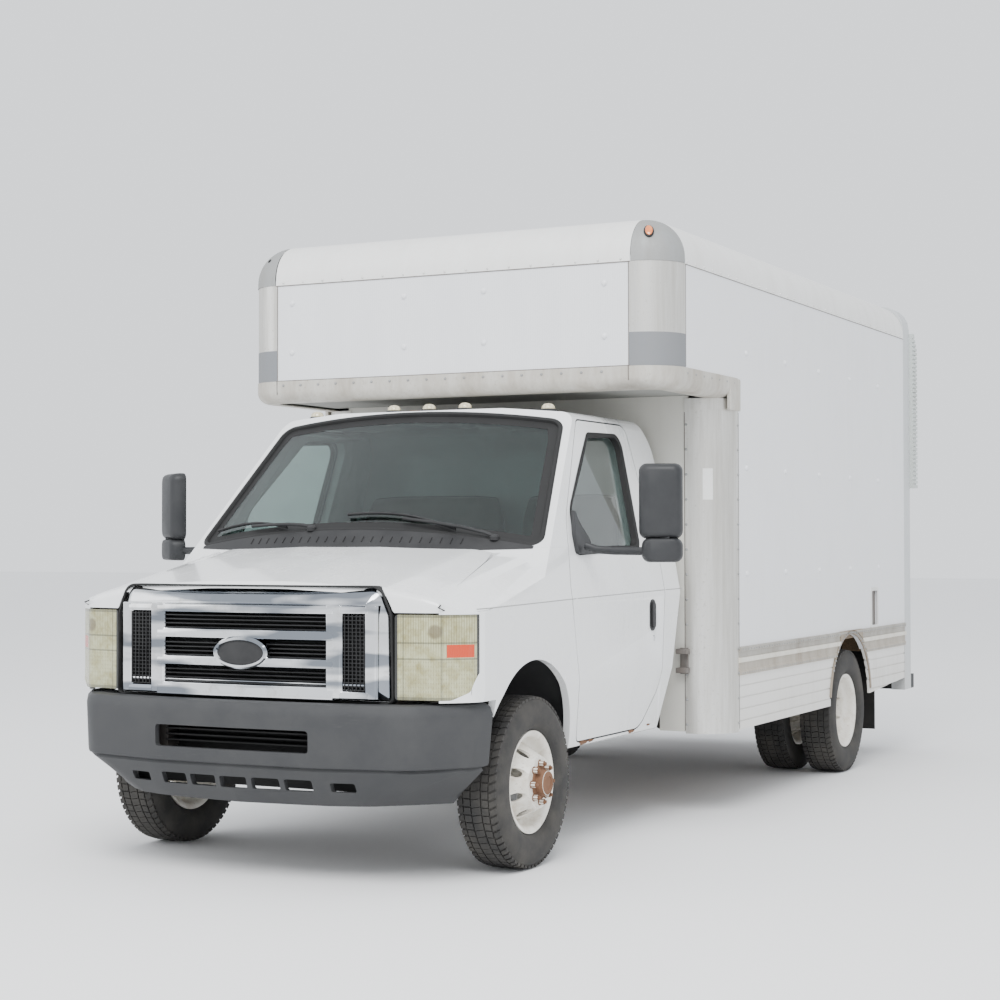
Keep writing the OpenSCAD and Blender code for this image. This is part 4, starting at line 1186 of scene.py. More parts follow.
@dataclass
class CabBody:
    """Painted cab panels, glass, seals, lamps and mirrors."""

    lines: CabLines = field(default_factory=CabLines)
    mirror_y: float = 580.0
    roof_lamps: tuple[float, ...] = (-650.0, -200.0, 0.0, 200.0, 650.0)

    def build(self, shop: Shop) -> None:
        """Build every cab piece."""
        self.panels(shop)
        self.screen(shop)
        self.wipers(shop)
        self.seams(shop)
        for side in SIDES:
            self.window_seal(shop, side)
            self.handle(shop, side)
            self.mirror(shop, side)
        self.roof(shop)

    def panels(self, shop: Shop) -> None:
        """Smooth skins over the pressed panels."""
        shop.panel("cab_shell", "cab_white", "chassis")
        shop.panel("fenders", "cab_white", "chassis")
        self.bonnet(shop)
        self.cowl(shop)
        for side in SIDES:
            shop.panel(f"door_{side.word}", "cab_white", f"{side.word}_door")

    def bonnet(self, shop: Shop) -> None:
        """The bonnet: crowned skin, rolled nose and turned-down front corners."""
        lines = self.lines
        columns = sorted({*range(-880, 881, 40), -895, 895, -705, 705, -696, 696, -688, 688, -660,
                          660, -646, 646, 0})
        rows = []
        for x in columns:
            front, wide = lines.nose_front(x), abs(x)
            rear = 5 + 2470 - math.sqrt(2470 ** 2 - x * x)
            if wide > lines.hood_back_half:
                share = (lines.hood_front_half - wide) / (lines.hood_front_half -
                                                          lines.hood_back_half)
                rear = min(rear, lines.nose_y + share * lines.hood_run)
            rear = max(rear, front + 60)
            share = (wide - lines.mouth_half) / (lines.mouth_shoulder - lines.mouth_half)
            foot = lines.mouth_top - min(max(share, 0.0), 1.0) * (lines.mouth_top - lines.nose_foot)
            runs = [rear + (front + 26 - rear) * (1 - (1 - k / 22) ** 1.5) for k in range(23)]
            ring = [(x, y, lines.hood_z(x, y)) for y in runs]
            edge = lines.hood_z(x, front)
            for angle in (30, 60, 90):
                a = math.radians(angle)
                ring.append((x, front + 26 * (1 - math.sin(a)),
                             edge - 22 * (1 - math.cos(a)) + (1 - math.sin(a)) * 5))
            top = edge - 22
            ring += [(x, front, top + (min(foot, top - 3) - top) * t) for t in (0.33, 0.66, 1.0)]
            rows.append(ring)
        shape = Shape()
        shape.loft(rows, closed=False, caps=False)
        under = [[(x, y + 6, z) if i > 22 else (x, y, z - 22) for i, (x, y, z) in enumerate(ring)]
                 for ring in rows]
        shape.loft(under, closed=False, caps=False)
        for upper, lower in ((rows[0], under[0]), (rows[-1], under[-1]),
                             ([r[0] for r in rows], [r[0] for r in under]),
                             ([r[-1] for r in rows], [r[-1] for r in under])):
            shape.loft([upper, lower], closed=False, caps=False)
        shop.piece("bonnet", shape, "cab_white", "cab_paint", "hood_lid", ["hood"], angle=40)
        seal = Shape()
        for s in (-1, 1):
            path = []
            for y in spread(-700, 70, 12):
                drawn_in = (lines.hood_front_half - lines.hood_back_half) * (y - lines.nose_y)
                x = lines.hood_front_half - drawn_in / lines.hood_run + 3.7
                path.append((s * x, y, lines.hood_z(x, y) - 9))
            front = lines.nose_front(898)
            path = [(s * 898.7, front + 8, 1124),
                    (s * 898.7, front + 7, lines.hood_z(898, front) - 26)] + path
            seal.tube(path, 3.4, 6)
        shop.piece("bonnet_seams", seal, "gasket_black", "rubber")

    def cowl(self, shop: Shop) -> None:
        """Black cowl panel between the bonnet and the glass."""
        lines = self.lines
        shape = Shape()
        top, low = [], []
        for x in spread(-884, 884, 32):
            top.append((x, -2.0))
            low.append((x, -128 * (1 - (abs(x) / 900) ** 2) - 14))
        shape.loft([[lines.glass(x, r, out) for x, r in line] for line, out in
                    ((top, 0.6), (top, 3.0), (low, 3.0), (low, 0.6))], closed=False, caps=False,
                   around=True)
        shop.piece("cowl_panel", shape, "trim_black", "black_plastic")
        vents = Shape()
        for x in spread(-560, 560, 23):
            base = -70 * (1 - (abs(x) / 900) ** 2) - 10
            a, b = lines.glass(x, base, 4.0), lines.glass(x, base + 34, 4.0)
            vents.tube([a, b], 2.4, 6)
        shop.piece("cowl_ribs", vents, "gasket_black", "black_plastic")

    def seams(self, shop: Shop) -> None:
        """Rubber in the door gaps, the pressed crease as a grey line of painted shade, and small
        rust.
        """
        lines = self.lines
        gaps, creases, flakes = Shape(), Shape(), Shape()
        for side in SIDES:
            s = side.value
            rows = [[(s * (lines.side_x(z) - 4.5 + 3.5 * c), y, z) for y, z in
                     rounded(inset(lines.door, 3.75 + 3.5 * d), 8)] for c, d in unit_circle(6)]
            band(gaps, rows)
            # The pressed crease is a thin grey tube laid on the white side: painted shade along the
            # crease.
            for y0, z0, y1, z1 in ((-560, 1135, 384, 1152), (396, 1152, 1448, 1166),
                                   (1461, 1166, 1696, 1168)):
                creases.tube([(s * (self.skin(y, z) - 1.2), y, z) for y, z in
                              zip(spread(y0, y1, 12), spread(z0, z1, 12))], 2.6, 6)
            for y, z, size in ((560, 482, 46), (640, 484, 30), (1120, 483, 38), (1330, 498, 22)):
                outline = [(y + size * (1 + 0.3 * math.sin(5 * a)) * math.cos(a),
                            z + size * 0.22 * (1 + 0.3 * math.cos(3 * a)) * math.sin(a) + 8)
                           for a in [math.tau * k / 14 for k in range(14)]]
                flakes.loft([[(s * (lines.side_x(max(pz, 478)) + out), py, pz) for py,
                              pz in outline] for out in (-1, 1.2)])
        for x, y, z, size in ((-520, 812, 2032, 52), (-60, 794, 2048, 34), (470, 815, 2036, 60),
                              (560, 822, 2026, 40)):
            outline = [(x + size * (1 + 0.25 * math.sin(4 * a)) * math.cos(a),
                        y + size * 0.3 * (1 + 0.2 * math.cos(3 * a)) * math.sin(a))
                       for a in [math.tau * k / 16 for k in range(16)]]
            flakes.loft([[(px, py, z + (py - y) * 0.35 + out) for px, py in outline]
                         for out in (-4, 3.5)])
        shop.piece("door_gap_rubber", gaps, "gasket_black", "rubber")
        shop.piece("body_creases", creases, "seam_grey", "cab_paint")
        shop.piece("rust_flakes", flakes, "rust", "cab_paint")

    def skin(self, y: float, z: float) -> float:
        """The body side's distance from the middle, with the nose drawn in."""
        side = self.lines.side_x(z)
        if y > -560:
            return side
        return min(side, 1028 + (y + 452) * 0.31)

    def screen(self, shop: Shop) -> None:
        """The windscreen's black border and rubber seal."""
        lines = self.lines
        seal = Shape()
        loops = []
        for depth, out in ((-6, -9), (-6, 1), (2, 5), (14, 3), (18, -8)):
            loops.append([lines.glass(x, run, out) for x,
                          run in densify(lines.screen_outline(depth), 90)])
        band(seal, loops)
        shop.piece("screen_seal", seal, "gasket_black", "rubber")
        border = Shape()
        outer, inner = densify(lines.screen_outline(12), 80), []
        for x, run in outer:
            edge = 46 if 60 < run < lines.screen_run - 70 else 58
            shrink_x = max(0.0, 1 - edge / max(abs(x), 1.0)) if abs(x) > 500 else 1.0
            inner.append((x * shrink_x, min(max(run, 62), lines.screen_run - 62)))
        border.loft([[lines.glass(x, run, -9.4) for x, run in outer],
                     [lines.glass(x, run, -9.4) for x, run in inner]],
                    caps=False)
        shop.piece("screen_border", border, "gasket_black", "black_plastic")

    def wipers(self, shop: Shop) -> None:
        """Two wiper arms with their blades, parked along the foot of the glass."""
        lines = self.lines
        for name, pivot, tip in (("driver", (700, 8), (-70, 96)),
                                 ("passenger", (-235, 14), (-835, 84))):
            shape = Shape()
            arm = [between(pivot, tip, t) for t in (0.0, 0.06, 0.2, 0.4, 0.6)]
            heights = (14, 26, 30, 26, 20)
            shape.tube([lines.glass(x, run, h) for (x, run), h in zip(arm, heights)], 8)
            start = between(pivot, tip, 0.25)
            blade = [(x, run + 34 * math.sin(math.pi * t)) for t in spread(0, 1, 12)
                     for x, run in [between(start, tip, t)]]
            shape.tube([lines.glass(x, run, 9) for x, run in blade], 6, 6)
            shape.tube([lines.glass(x, run, 1) for x, run in blade], 3, 6)
            hub = lines.glass(pivot[0], pivot[1], 6)
            shape.lathe([(0.1, -12), (22, -12), (24, 4), (14, 14), (0.1, 16)], hub, Axis.Z, 20)
            shop.piece(f"wiper_{name}", shape, "trim_black", "black_plastic")

    def window_seal(self, shop: Shop, side: Side) -> None:
        """Rubber round a door window, following the door's curve."""
        shape = Shape()
        loops = []
        base = densify(rounded(self.lines.window, 6), 60)
        cy, cz = middle(base)
        for grow, proud in ((8, -3), (8, 3), (0, 5), (-18, 1), (-22, -29)):
            ring = []
            for y, z in base:
                reach = math.hypot(y - cy, z - cz)
                py, pz = y + (y - cy) / reach * grow, z + (z - cz) / reach * grow
                ring.append((side.value * (self.lines.side_x(pz) + proud), py, pz))
            loops.append(ring)
        band(shape, loops)
        shop.piece(f"window_seal_{side.word}", shape, "gasket_black", "rubber", f"{side.word}_door")

    def on_side(self, shape: Shape, sign: int, outline: Sequence[Point],
                outs: Sequence[float]) -> None:
        """Raise a (y, z) outline off the cab's side, through a list of distances."""
        shape.loft([[(sign * (self.lines.side_x(z) + out), y, z) for y, z in outline]
                    for out in outs])

    def handle(self, shop: Shop, side: Side) -> None:
        """Door handle in its dish, and the lock below it."""
        s = side.value
        shape = Shape()
        self.on_side(shape, s, rectangle(1244, 970, 1320, 1124, 34, 8), (-2, 2.5))
        self.on_side(shape, s, rectangle(1262, 984, 1302, 1110, 18, 6), (2, 12))
        shop.piece(f"handle_{side.word}", shape, "trim_black", "black_plastic",
                   f"{side.word}_door", bevel=1.5)
        lock = Shape()
        lock.lathe([(0.1, -3), (13, -3), (13, 2), (10, 4), (0.1, 4)],
                   (s * (self.lines.half_width + 0.5), 1296, 935),
                   Axis.X, 24)
        shop.piece(f"door_lock_{side.word}", lock, "chrome_plate", "chrome", f"{side.word}_door")

    def mirror(self, shop: Shop, side: Side) -> None:
        """Tow mirror: two heads, their glass, the arm and the sail patch."""
        s = side.value
        y = self.mirror_y
        body = f"{side.word}_door"
        shape = Shape()
        angle = math.radians(22 if s > 0 else 36)

        def turned(px: float, py: float, pz: float) -> Corner:
            """Turn a head point in towards the driver, about the head's middle."""
            dx, dy = px - 1337, py - y
            return (s * (1337 + dx * math.cos(angle) - dy * math.sin(angle)),
                    y + dx * math.sin(angle) + dy * math.cos(angle), pz)
        for z0, z1, x0, x1 in ((1420, 1760, 1238, 1436), (1314, 1424, 1250, 1436)):
            rings = []
            for t, scale in ((-50, 0.66), (-46, 0.80), (-36, 0.90), (-20, 0.965), (0, 1.0),
                             (22, 1.0), (28, 0.98)):
                cx, cz = (x0 + x1) / 2, (z0 + z1) / 2
                outline = rectangle(x0, z0, x1, z1, 36, 6)
                rings.append([turned(cx + (px - cx) * scale, y + t, cz + (pz - cz) *
                                     (1 - (1 - scale) * 0.5)) for px, pz in outline])
            shape.loft(rings)
        shape.box((min(s * 1290, s * 1384), y - 22, 1405), (max(s * 1290, s * 1384), y + 18, 1436))
        arm = [(s * 990, y - 60, 1392), (s * 1040, y - 48, 1374), (s * 1120, y - 40, 1368),
               (s * 1275, y - 26, 1366)]
        shape.tube(arm, 17, 14)
        shape.tube([(p[0], p[1] + 4, p[2] - 8) for p in arm], 13, 14)
        shop.piece(f"mirror_body_{side.word}", shape, "mirror_black", "black_plastic", body,
                   [f"mirror_{side.word}"],
                   angle=38, bevel=2.0)
        glass = Shape()
        for z0, z1, x0, x1 in ((1434, 1748, 1250, 1424), (1326, 1412, 1262, 1424)):
            outline = rectangle(x0, z0, x1, z1, 24, 6)
            glass.loft([[turned(px, y + deep, pz) for px, pz in outline] for deep in (26, 30)])
        shop.piece(f"mirror_glass_{side.word}", glass, "chrome_plate", "chrome", body)
        sail = Shape()
        corners = rounded([(474, 1352, 12), (650, 1352, 26), (630, 1420, 36), (556, 1500, 60),
                           (528, 1580, 14), (480, 1440, 60)], 5)
        self.on_side(sail, s, corners, (-4, 16, 20))
        shop.piece(f"mirror_sail_{side.word}", sail, "mirror_black", "black_plastic", body,
                   angle=35, bevel=3.0)

    def roof(self, shop: Shop) -> None:
        """Five dome lamps on black feet."""
        feet, domes = Shape(), Shape()
        for x in self.roof_lamps:
            z = 2052 if abs(x) < 400 else 2034
            feet.lathe([(0.1, -3), (40, -3), (40, 5), (34, 10), (0.1, 10)], (x, 850, z), Axis.Z, 28)
            domes.lathe([(0.1, 9), (33, 9), (33, 14), (30, 24), (22, 32), (11, 36), (0.1, 37)],
                        (x, 850, z), Axis.Z, 28)
        shop.piece("roof_lamp_feet", feet, "trim_black", "black_plastic")
        shop.piece("roof_lamp_domes", domes, "dome_lens", "lamp_amber", replaces=["marker_lamps"],
                   angle=50)
        tail = Shape()
        for side in SIDES:
            x0, x1 = ordered(side.value, 1138, 1192)
            tail.prism(Axis.Y, rectangle(x0, 900, x1, 1160, 12), 5370, 5386)
        shop.piece("tail_lamps", tail, "red_lens", "lamp_amber", bevel=3.0)


@dataclass
class FrontEnd:
    """Grille, badge, headlamps and bumper."""

    back_y: float = -702.0
    bars: tuple[Point, ...] = ((757, 817), (885, 930), (1001, 1046), (1109, 1150))
    bar_half: float = 440.0
    slat_feet: tuple[float, ...] = (819, 932, 1048)
    slats_each: int = 4
    half: float = 686.0
    outer: list[Corner] = field(default_factory=lambda: [
        (-686, 757, 20), (686, 757, 20), (680, 1110, 60), (634, 1222, 60), (-634, 1222, 60),
        (-680, 1110, 60)])

    def bow(self, x: float, y: float, z: float) -> Corner:
        """Sweep the grille's ends back a little."""
        return (x, y + 34 * (abs(x) / self.half) ** 2.2, z)

    def build(self, shop: Shop) -> None:
        """Build every piece of the front end."""
        self.frame(shop)
        self.slats(shop)
        self.badge(shop)
        self.lamps(shop)
        self.bumper(shop)

    def bumper(self, shop: Shop) -> None:
        """One moulding: shelf, upper face, crease, and a valance tucked in at the ends."""
        def plan(corners: Sequence[Corner], depth: float) -> list[Point]:
            """Both halves of a plan line, drawn in by depth, left end to right end."""
            half = corners + [(-x, y, r) for x, y, r in corners[-2::-1]]
            loop = inset([(x, y, r) for x, y, r in half[::-1]], depth)
            return rounded(loop, 7)
        face = [(1000, -432, 1), (980, -572, 160), (806, -788, 180), (400, -872, 600), (0, -885, 1)]
        crease = [(1000, -470, 1), (974, -568, 150), (800, -782, 180), (400, -868, 600),
                  (0, -881, 1)]
        lip = [(990, -500, 1), (940, -596, 150), (765, -776, 180), (400, -850, 600), (0, -868, 1)]
        tuck = [(873, -470, 1), (690, -676, 150), (600, -752, 180), (400, -802, 600), (0, -838, 1)]
        foot = [(840, -470, 1), (660, -640, 150), (560, -716, 180), (400, -772, 600), (0, -815, 1)]
        levels = [(face, 150, 746), (face, 62, 752), (face, 22, 748), (face, 6, 730),
                  (face, 0, 700), (crease, 0, 502),
                  (crease, 3, 494), (lip, 4, 488), (lip, 0, 476), (tuck, 0, 372), (foot, 0, 330),
                  (foot, 20, 326),
                  (foot, 26, 340), (tuck, 26, 378), (lip, 28, 476), (crease, 28, 500),
                  (face, 28, 700), (face, 40, 722), (face, 150, 726)]
        rings = [[(x, y, z) for x, y in plan(line, depth)] for line, depth, z in levels]
        shape = Shape()
        shape.loft(rings, closed=False, caps=False, around=True)
        for end in (0, -1):
            shape.bm.faces.new(shape.ring([ring[end] for ring in rings]))
        obj = shape.object("front_bumper_moulding", shop.paints["bumper_grey"])
        holes = Shape()
        slots = [rectangle(-379, 550, 379, 642, 14)]
        slots += [rectangle(x - 65, 390, x + 65, 438, 8) for x in range(-308, 309, 154)]
        slots += [rectangle(x0, 392, x1, 430, 8) for x0, x1 in ((-555, -450), (450, 555))]
        for outline in slots:
            holes.prism(Axis.Y, outline, -1000, -640)
        carve(obj, holes)
        soften(obj, 32, 0.003)
        hand_in(obj, "chassis", ["front_bumper"])
        backing = Shape()
        backing.box((-590, -706, 384), (590, -698, 668))
        for z in (572, 596, 620):
            backing.box((-376, -800, z - 3), (376, -706, z + 3))
        shop.piece("bumper_backing", backing, "gasket_black", "black_plastic")

    def frame(self, shop: Shop) -> None:
        """Chrome surround, posts and bars."""
        shape = Shape()
        loops = []
        for depth, y in ((0, self.back_y), (0, -726), (3, -738), (16, -752), (40, -770),
                         (58, -782), (66, -788), (72, -788), (76, -780), (76, -720)):
            loops.append([self.bow(x, y, z) for x, z in rounded(inset(self.outer, depth), 6)])
        shape.loft(loops, caps=False)
        for z0, z1 in self.bars:
            self.bar(shape, -self.bar_half, self.bar_half, z0, z1)
        for s in (-1, 1):
            for x0, x1 in ((402, 480), (580, 640)):
                self.post(shape, s * x0, s * x1, 770, 1150)
            for z0, z1 in ((1112, 1150), (765, 802)):
                self.bar(shape, *ordered(s, 470, 600), z0, z1)
        shop.piece("grille_frame", shape, "chrome_plate", "chrome", replaces=["grille"], angle=26,
                   bevel=2.0)
        seal = Shape()
        nose = CabLines()
        loops = []
        for depth, step in ((-8, 40), (-8, -4), (-4, -8), (-0.5, -6), (-0.5, 40)):
            loop = densify(rounded(inset(self.outer, -4), 6), 60)
            shrink = [(x * (1 - (depth + 4) / 686), 990 + (z - 990) * (1 - (depth + 4) / 232))
                      for x, z in loop]
            loops.append([(x, min(nose.nose_front(x), -700) + step, z) for x, z in shrink])
        band(seal, loops)
        shop.piece("grille_gasket", seal, "gasket_black", "rubber")

    def bar(self, shape: Shape, x0: float, x1: float, z0: float, z1: float) -> None:
        """One level bar with a bright rounded face."""
        middle = (z0 + z1) / 2
        section = [(-722, z0), (-776, z0), (-790, z0 + 6), (-790, middle + 4), (-786, z1 - 5),
                   (-776, z1), (-722, z1)]
        steps = 14
        shape.loft([[self.bow(x0 + (x1 - x0) * i / steps, y, z) for y, z in section]
                    for i in range(steps + 1)])

    def post(self, shape: Shape, x0: float, x1: float, z0: float, z1: float) -> None:
        """One upright post."""
        low, high = min(x0, x1), max(x0, x1)
        section = [(low, -722), (low, -778), (low + 8, -788), (high - 8, -788), (high, -778),
                   (high, -722)]
        shape.loft([[self.bow(x, y, z) for x, y in section] for z in (z0, z1)])

    def slats(self, shop: Shop) -> None:
        """Dark slats in the mouths and mesh at the sides, by geometry nodes."""
        backing = Shape()
        backing.box((-660, -712, 765), (660, -704, 1160))
        shop.piece("grille_backing", backing, "gasket_black", "black_plastic")
        for index, z0 in enumerate(self.slat_feet):
            seed = Shape()
            seed.loft([[(x, y, z) for y,
                        z in ((-728, z0), (-770, z0 - 3), (-772, z0 + 1), (-730, z0 + 5))]
                       for x in (-438, 438)])
            obj = seed.object(f"grille_slats_{index}", shop.paints["trim_black"])
            shop.repeater.run(Repeat.ROW, obj, shop.paints["trim_black"], count=self.slats_each,
                              step=(0.0, 0.0, 0.0175))
            hand_in(obj, "chassis")
        for side in SIDES:
            for word, count, step, box in (
                    ("level", 20, (0.0, 0.0, 0.0158), ((480, -762, 803), (582, -752, 806))),
                    ("upright", 6, (0.0185 * side.value, 0.0, 0.0),
                     ((488, -764, 803), (491, -750, 1112)))):
                seed = Shape()
                low, high = box
                x0, x1 = ordered(side.value, low[0], high[0])
                seed.box((x0, low[1], low[2]), (x1, high[1], high[2]))
                obj = seed.object(f"grille_mesh_{word}_{side.word}", shop.paints["trim_black"])
                shop.repeater.run(Repeat.ROW, obj, shop.paints["trim_black"], count=count,
                                  step=step)
                hand_in(obj, "chassis")

    def badge(self, shop: Shop) -> None:
        """Plain oval boss with a chrome ring."""
        oval = unit_circle(48)

        def ring(a: float, b: float, y: float) -> list[Corner]:
            """One oval loop."""
            return [(a * c, y, 948 + b * s) for c, s in oval]
        rim = Shape()
        band(rim, [ring(136, 69, -770), ring(136, 69, -796), ring(130, 63, -803),
                   ring(120, 53, -803), ring(115, 49, -796),
                   ring(115, 49, -770)])
        shop.piece("badge_rim", rim, "chrome_plate", "chrome")
        face = Shape()
        face.loft([ring(117, 51, -780), ring(117, 51, -794), ring(90, 38, -800),
                   ring(40, 17, -803), ring(4, 2, -804)])
        shop.piece("badge_face", face, "trim_black", "black_plastic", angle=60)

    def lamps(self, shop: Shop) -> None:
        """Yellowed headlamp lenses with their zones."""
        lens = merged_copy(shop.frame["nodes"]["headlights"], "headlamp_lenses")
        obj = place("headlamp_lenses", lens, headlamp_material())
        soften(obj, 35, 0.004)
        hand_in(obj, "chassis", ["headlights"])


def carve(obj: Item, cutter: Shape) -> None:
    """Cut a shape out of an object's mesh."""
    tool = cutter.object(f"{obj.name}_cutter", obj.data.materials[0])
    step = obj.modifiers.new("cut", "BOOLEAN")
    step.operation = "DIFFERENCE"
    step.solver = "EXACT"
    step.object = tool
    mesh = baked(obj)
    obj.modifiers.remove(step)
    obj.data = mesh
    bpy.data.objects.remove(tool, do_unlink=True)


def headlamp_material() -> Paint:
    """The headlamp's finish: three level zones, flutes, an amber block and dark seams."""
    g = Graph("headlamp_zones")
    g.set(Roughness=0.18, Coat_Weight=0.5, Coat_Roughness=0.03)
    z, y = g.part(Axis.Z), g.part(Axis.Y)
    x = g.math("ABSOLUTE", g.part(Axis.X))
    run = g.plus(x, g.times(y, 0.5))
    flutes = g.math("SINE", g.times(run, math.tau / 0.0115))
    cells = g.math("SINE", g.times(z, math.tau / 0.017))
    clouds = g.span(g.noise(22.0, 6.0, 0.7), 0.42, 0.7)
    clear, straw, dark = (0.46, 0.46, 0.28), (0.27, 0.24, 0.09), (0.04, 0.04, 0.03)
    base = g.mix(clouds, clear, straw)
    ribs = g.times(g.span(flutes, 0.2, 1.0), g.span(z, 0.95, 1.0, 0.25, 0.75))
    base = g.mix(ribs, base, (0.20, 0.18, 0.09))
    checks = g.times(g.span(flutes, 0.0, 1.0), g.span(cells, 0.0, 1.0))
    lower = g.times(checks, g.span(z, 0.94, 0.93, 0.0, 0.8))
    base = g.mix(lower, base, (0.24, 0.23, 0.14))

    def strip(low: float, high: float) -> Socket:
        """1 between two heights."""
        return g.times(g.over(z, low), g.under(z, high))
    seam = g.most(g.most(strip(0.996, 1.003), strip(0.931, 0.938)),
                  g.most(strip(1.102, 1.2), strip(0.6, 0.781)))
    edge = g.most(g.under(x, 0.708), g.over(y, -0.560 + DATUM.axle_y))
    base = g.mix(g.times(seam, 0.55), base, dark)
    amber = g.times(strip(0.941, 0.993), g.times(g.over(x, 0.905),
                                                           g.under(y, -0.572 + DATUM.axle_y)))
    base = g.mix(amber, base, (0.58, 0.045, 0.004))
    reach = g.plus(g.math("POWER", g.math("SUBTRACT", x, 0.865), 2.0),
                   g.math("POWER", g.math("SUBTRACT", z, 1.045), 2.0))
    base = g.mix(g.span(reach, 0.0005, 0.0011, 0.7, 0.0), base, (0.12, 0.09, 0.05))
    rim = g.most(g.times(g.over(x, 0.885), g.under(x, 0.893)),
                 g.times(g.over(x, 0.728), g.under(x, 0.736)))
    base = g.mix(g.times(rim, 0.35), base, dark)
    g.link(g.mix(edge, base, (0.02, 0.02, 0.018)), "Base Color")
    g.bump(flutes, 0.0012, 0.35)
    return g.material


# ---- cargo body -------------------------------------------------------------------


@dataclass
class CargoBody:
    """Panels, rails, corner castings, rivets and skirts of the box."""

    half: float = 1208.0
    corner: float = 197.0
    front: float = 1757.0
    attic: float = 1015.0
    back: float = 5370.0
    wall_back: float = 5216.0
    top: float = 2975.0
    attic_z: float = 2140.0
    rail_top: float = 2249.0
    band_top: float = 2411.0
    skirt: float = 434.0
    wheel: tuple[float, float, float] = (3965.0, 425.0, 412.0)

    @property
    def wall_top(self) -> float:
        """Where the flat walls end and the roof rails begin."""
        return self.top - self.corner

    def stations(self, nose: float, side: Side, arc: bool = True, front_to: float | None = None,
                 side_to: float | None = None) -> list[tuple[float, float, float, float]]:
        """Plan stations (x, y, nx, ny) round one front corner, from the middle outward.

        Args:
            nose: The Y of the front face.
            side: Which corner.
            arc: Whether the quarter turn is included.
            front_to: Start at this distance from the middle on the front face.
            side_to: End at this Y on the side.

        Returns:
            The stations in order.
        """
        s = side.value
        cx, cy = self.half - self.corner, nose + self.corner
        result = []
        if front_to is not None:
            result.append((s * front_to, nose, 0.0, -1.0))
        if arc:
            for i in range(13):
                angle = math.radians(90 * i / 12)
                nx, ny = math.sin(angle), -math.cos(angle)
                result.append((s * (cx + self.corner * nx), cy + self.corner * ny, s * nx, ny))
        if side_to is not None:
            result.append((s * self.half, side_to, float(s), 0.0))
        return result

    @staticmethod
    def sweep(shape: Shape, section: Sequence[Point],
              stations: Sequence[tuple[float, float, float, float]]) -> None:
        """Carry a section of (outward, z) points along plan stations."""
        shape.loft([[(x + nx * d, y + ny * d, z) for d, z in section] for x, y, nx, ny in stations])

    def build(self, shop: Shop) -> None:
        """Build every piece of the box."""
        self.walls(shop)
        self.roof_rails(shop)
        self.corners(shop)
        self.attic_rail(shop)
        self.rub_rails(shop)
        self.rivets(shop)
        self.joints(shop)
        self.fittings(shop)

    def walls(self, shop: Shop) -> None:
        """Side panels, ribbed attic front, bulkhead and skirts."""
        shop.panel("box_side_walls", "panel_white", "chassis")
        shop.panel("side_skirts", "skirt_white", "chassis")
        sheet, bulkhead = Shape(), Shape()
        inner = self.half - self.corner
        sheet.box((-inner, self.attic, self.rail_top), (inner, self.attic + 25, self.wall_top))
        shop.piece("attic_front", sheet, "attic_sheet", "panel_white", replaces=["box_front_walls"])
        bulkhead.box((-inner, self.front, 713), (inner, self.front + 25, self.attic_z + 14))
        for s in (-1, 1):
            x0, x1 = ordered(s, 852, inner - 1)
            bulkhead.box((x0, self.front + 1, self.skirt), (x1, self.front + 13, 714))
        shop.piece("bulkhead", bulkhead, "bulkhead_beige", "panel_white",
                   replaces=["box_front_walls"])

    def roof_rails(self, shop: Shop) -> None:
        """Quarter-round rails along the roof's front and sides, each with a riveted flange."""
        shape = Shape()
        z0, r, inner = self.wall_top, self.corner, self.half - self.corner
        arc = [(r * math.cos(math.radians(a)), r * math.sin(math.radians(a)))
               for a in range(0, 91, 6)]
        outside = [(r + 3, -26), (r + 3, 0)] + [(c * (r + 2) / r, s * (r + 1) / r) for c,
                                                s in arc] + [(-14, r + 1)]
        inside = [(-14, r - 5)] + [(c * (r - 5) / r, s * (r - 5) / r) for c,
                                   s in arc[::-1]] + [(r - 1, -26)]
        section = outside + inside
        for side in SIDES:
            s = side.value
            shape.loft([[(s * (inner + d), y, z0 + h) for d, h in section] for y in
                        (self.attic + self.corner + 4, 2600, 3900, self.wall_back - 2)])
        shape.loft([[(x, self.attic + self.corner - d, z0 + h) for d, h in section] for x in
                    (-inner + 4, -inner / 3, inner / 3, inner - 4)])
        shop.piece("roof_rails", shape, "rail_white", "bare_aluminium", replaces=["box_rails"],
                   angle=30)

    def corners(self, shop: Shop) -> None:
        """Corner sheets, grey bands, cast caps and the lower columns."""
        def strip(out: float, low: float, high: float) -> list[Point]:
            """The section of a thin upright sheet."""
            return [(out, low), (out, high), (-3, high), (-3, low)]
        sheets, bands, caps, columns = Shape(), Shape(), Shape(), Shape()
        for side in SIDES:
            attic = self.stations(self.attic, side, True, self.half - self.corner - 12,
                                  self.attic + self.corner + 12)
            self.sweep(sheets, strip(1.5, self.band_top, self.wall_top - 24), attic)
            self.sweep(bands, strip(2, self.rail_top - 2, self.band_top), attic)
            self.cap(caps, side)
            lower = self.stations(self.front, side, True, self.half - self.corner - 16,
                                  self.front + self.corner + 12)
            self.sweep(columns, strip(1.5, self.skirt - 10, self.attic_z - 58), lower)
            collar = self.stations(self.front, side, True, self.half - self.corner - 18,
                                   self.front + self.corner + 26)
            self.sweep(columns, strip(5, self.attic_z - 58, self.attic_z), collar)
        shop.piece("corner_sheets", sheets, "corner_silver", "bare_aluminium",
                   replaces=["front_corners"], angle=35)
        shop.piece("corner_bands", bands, "band_grey", "bare_aluminium", angle=35)
        shop.piece("corner_caps", caps, "cast_grey", "bare_aluminium", angle=35)
        shop.piece("columns", columns, "corner_silver", "bare_aluminium", angle=35)

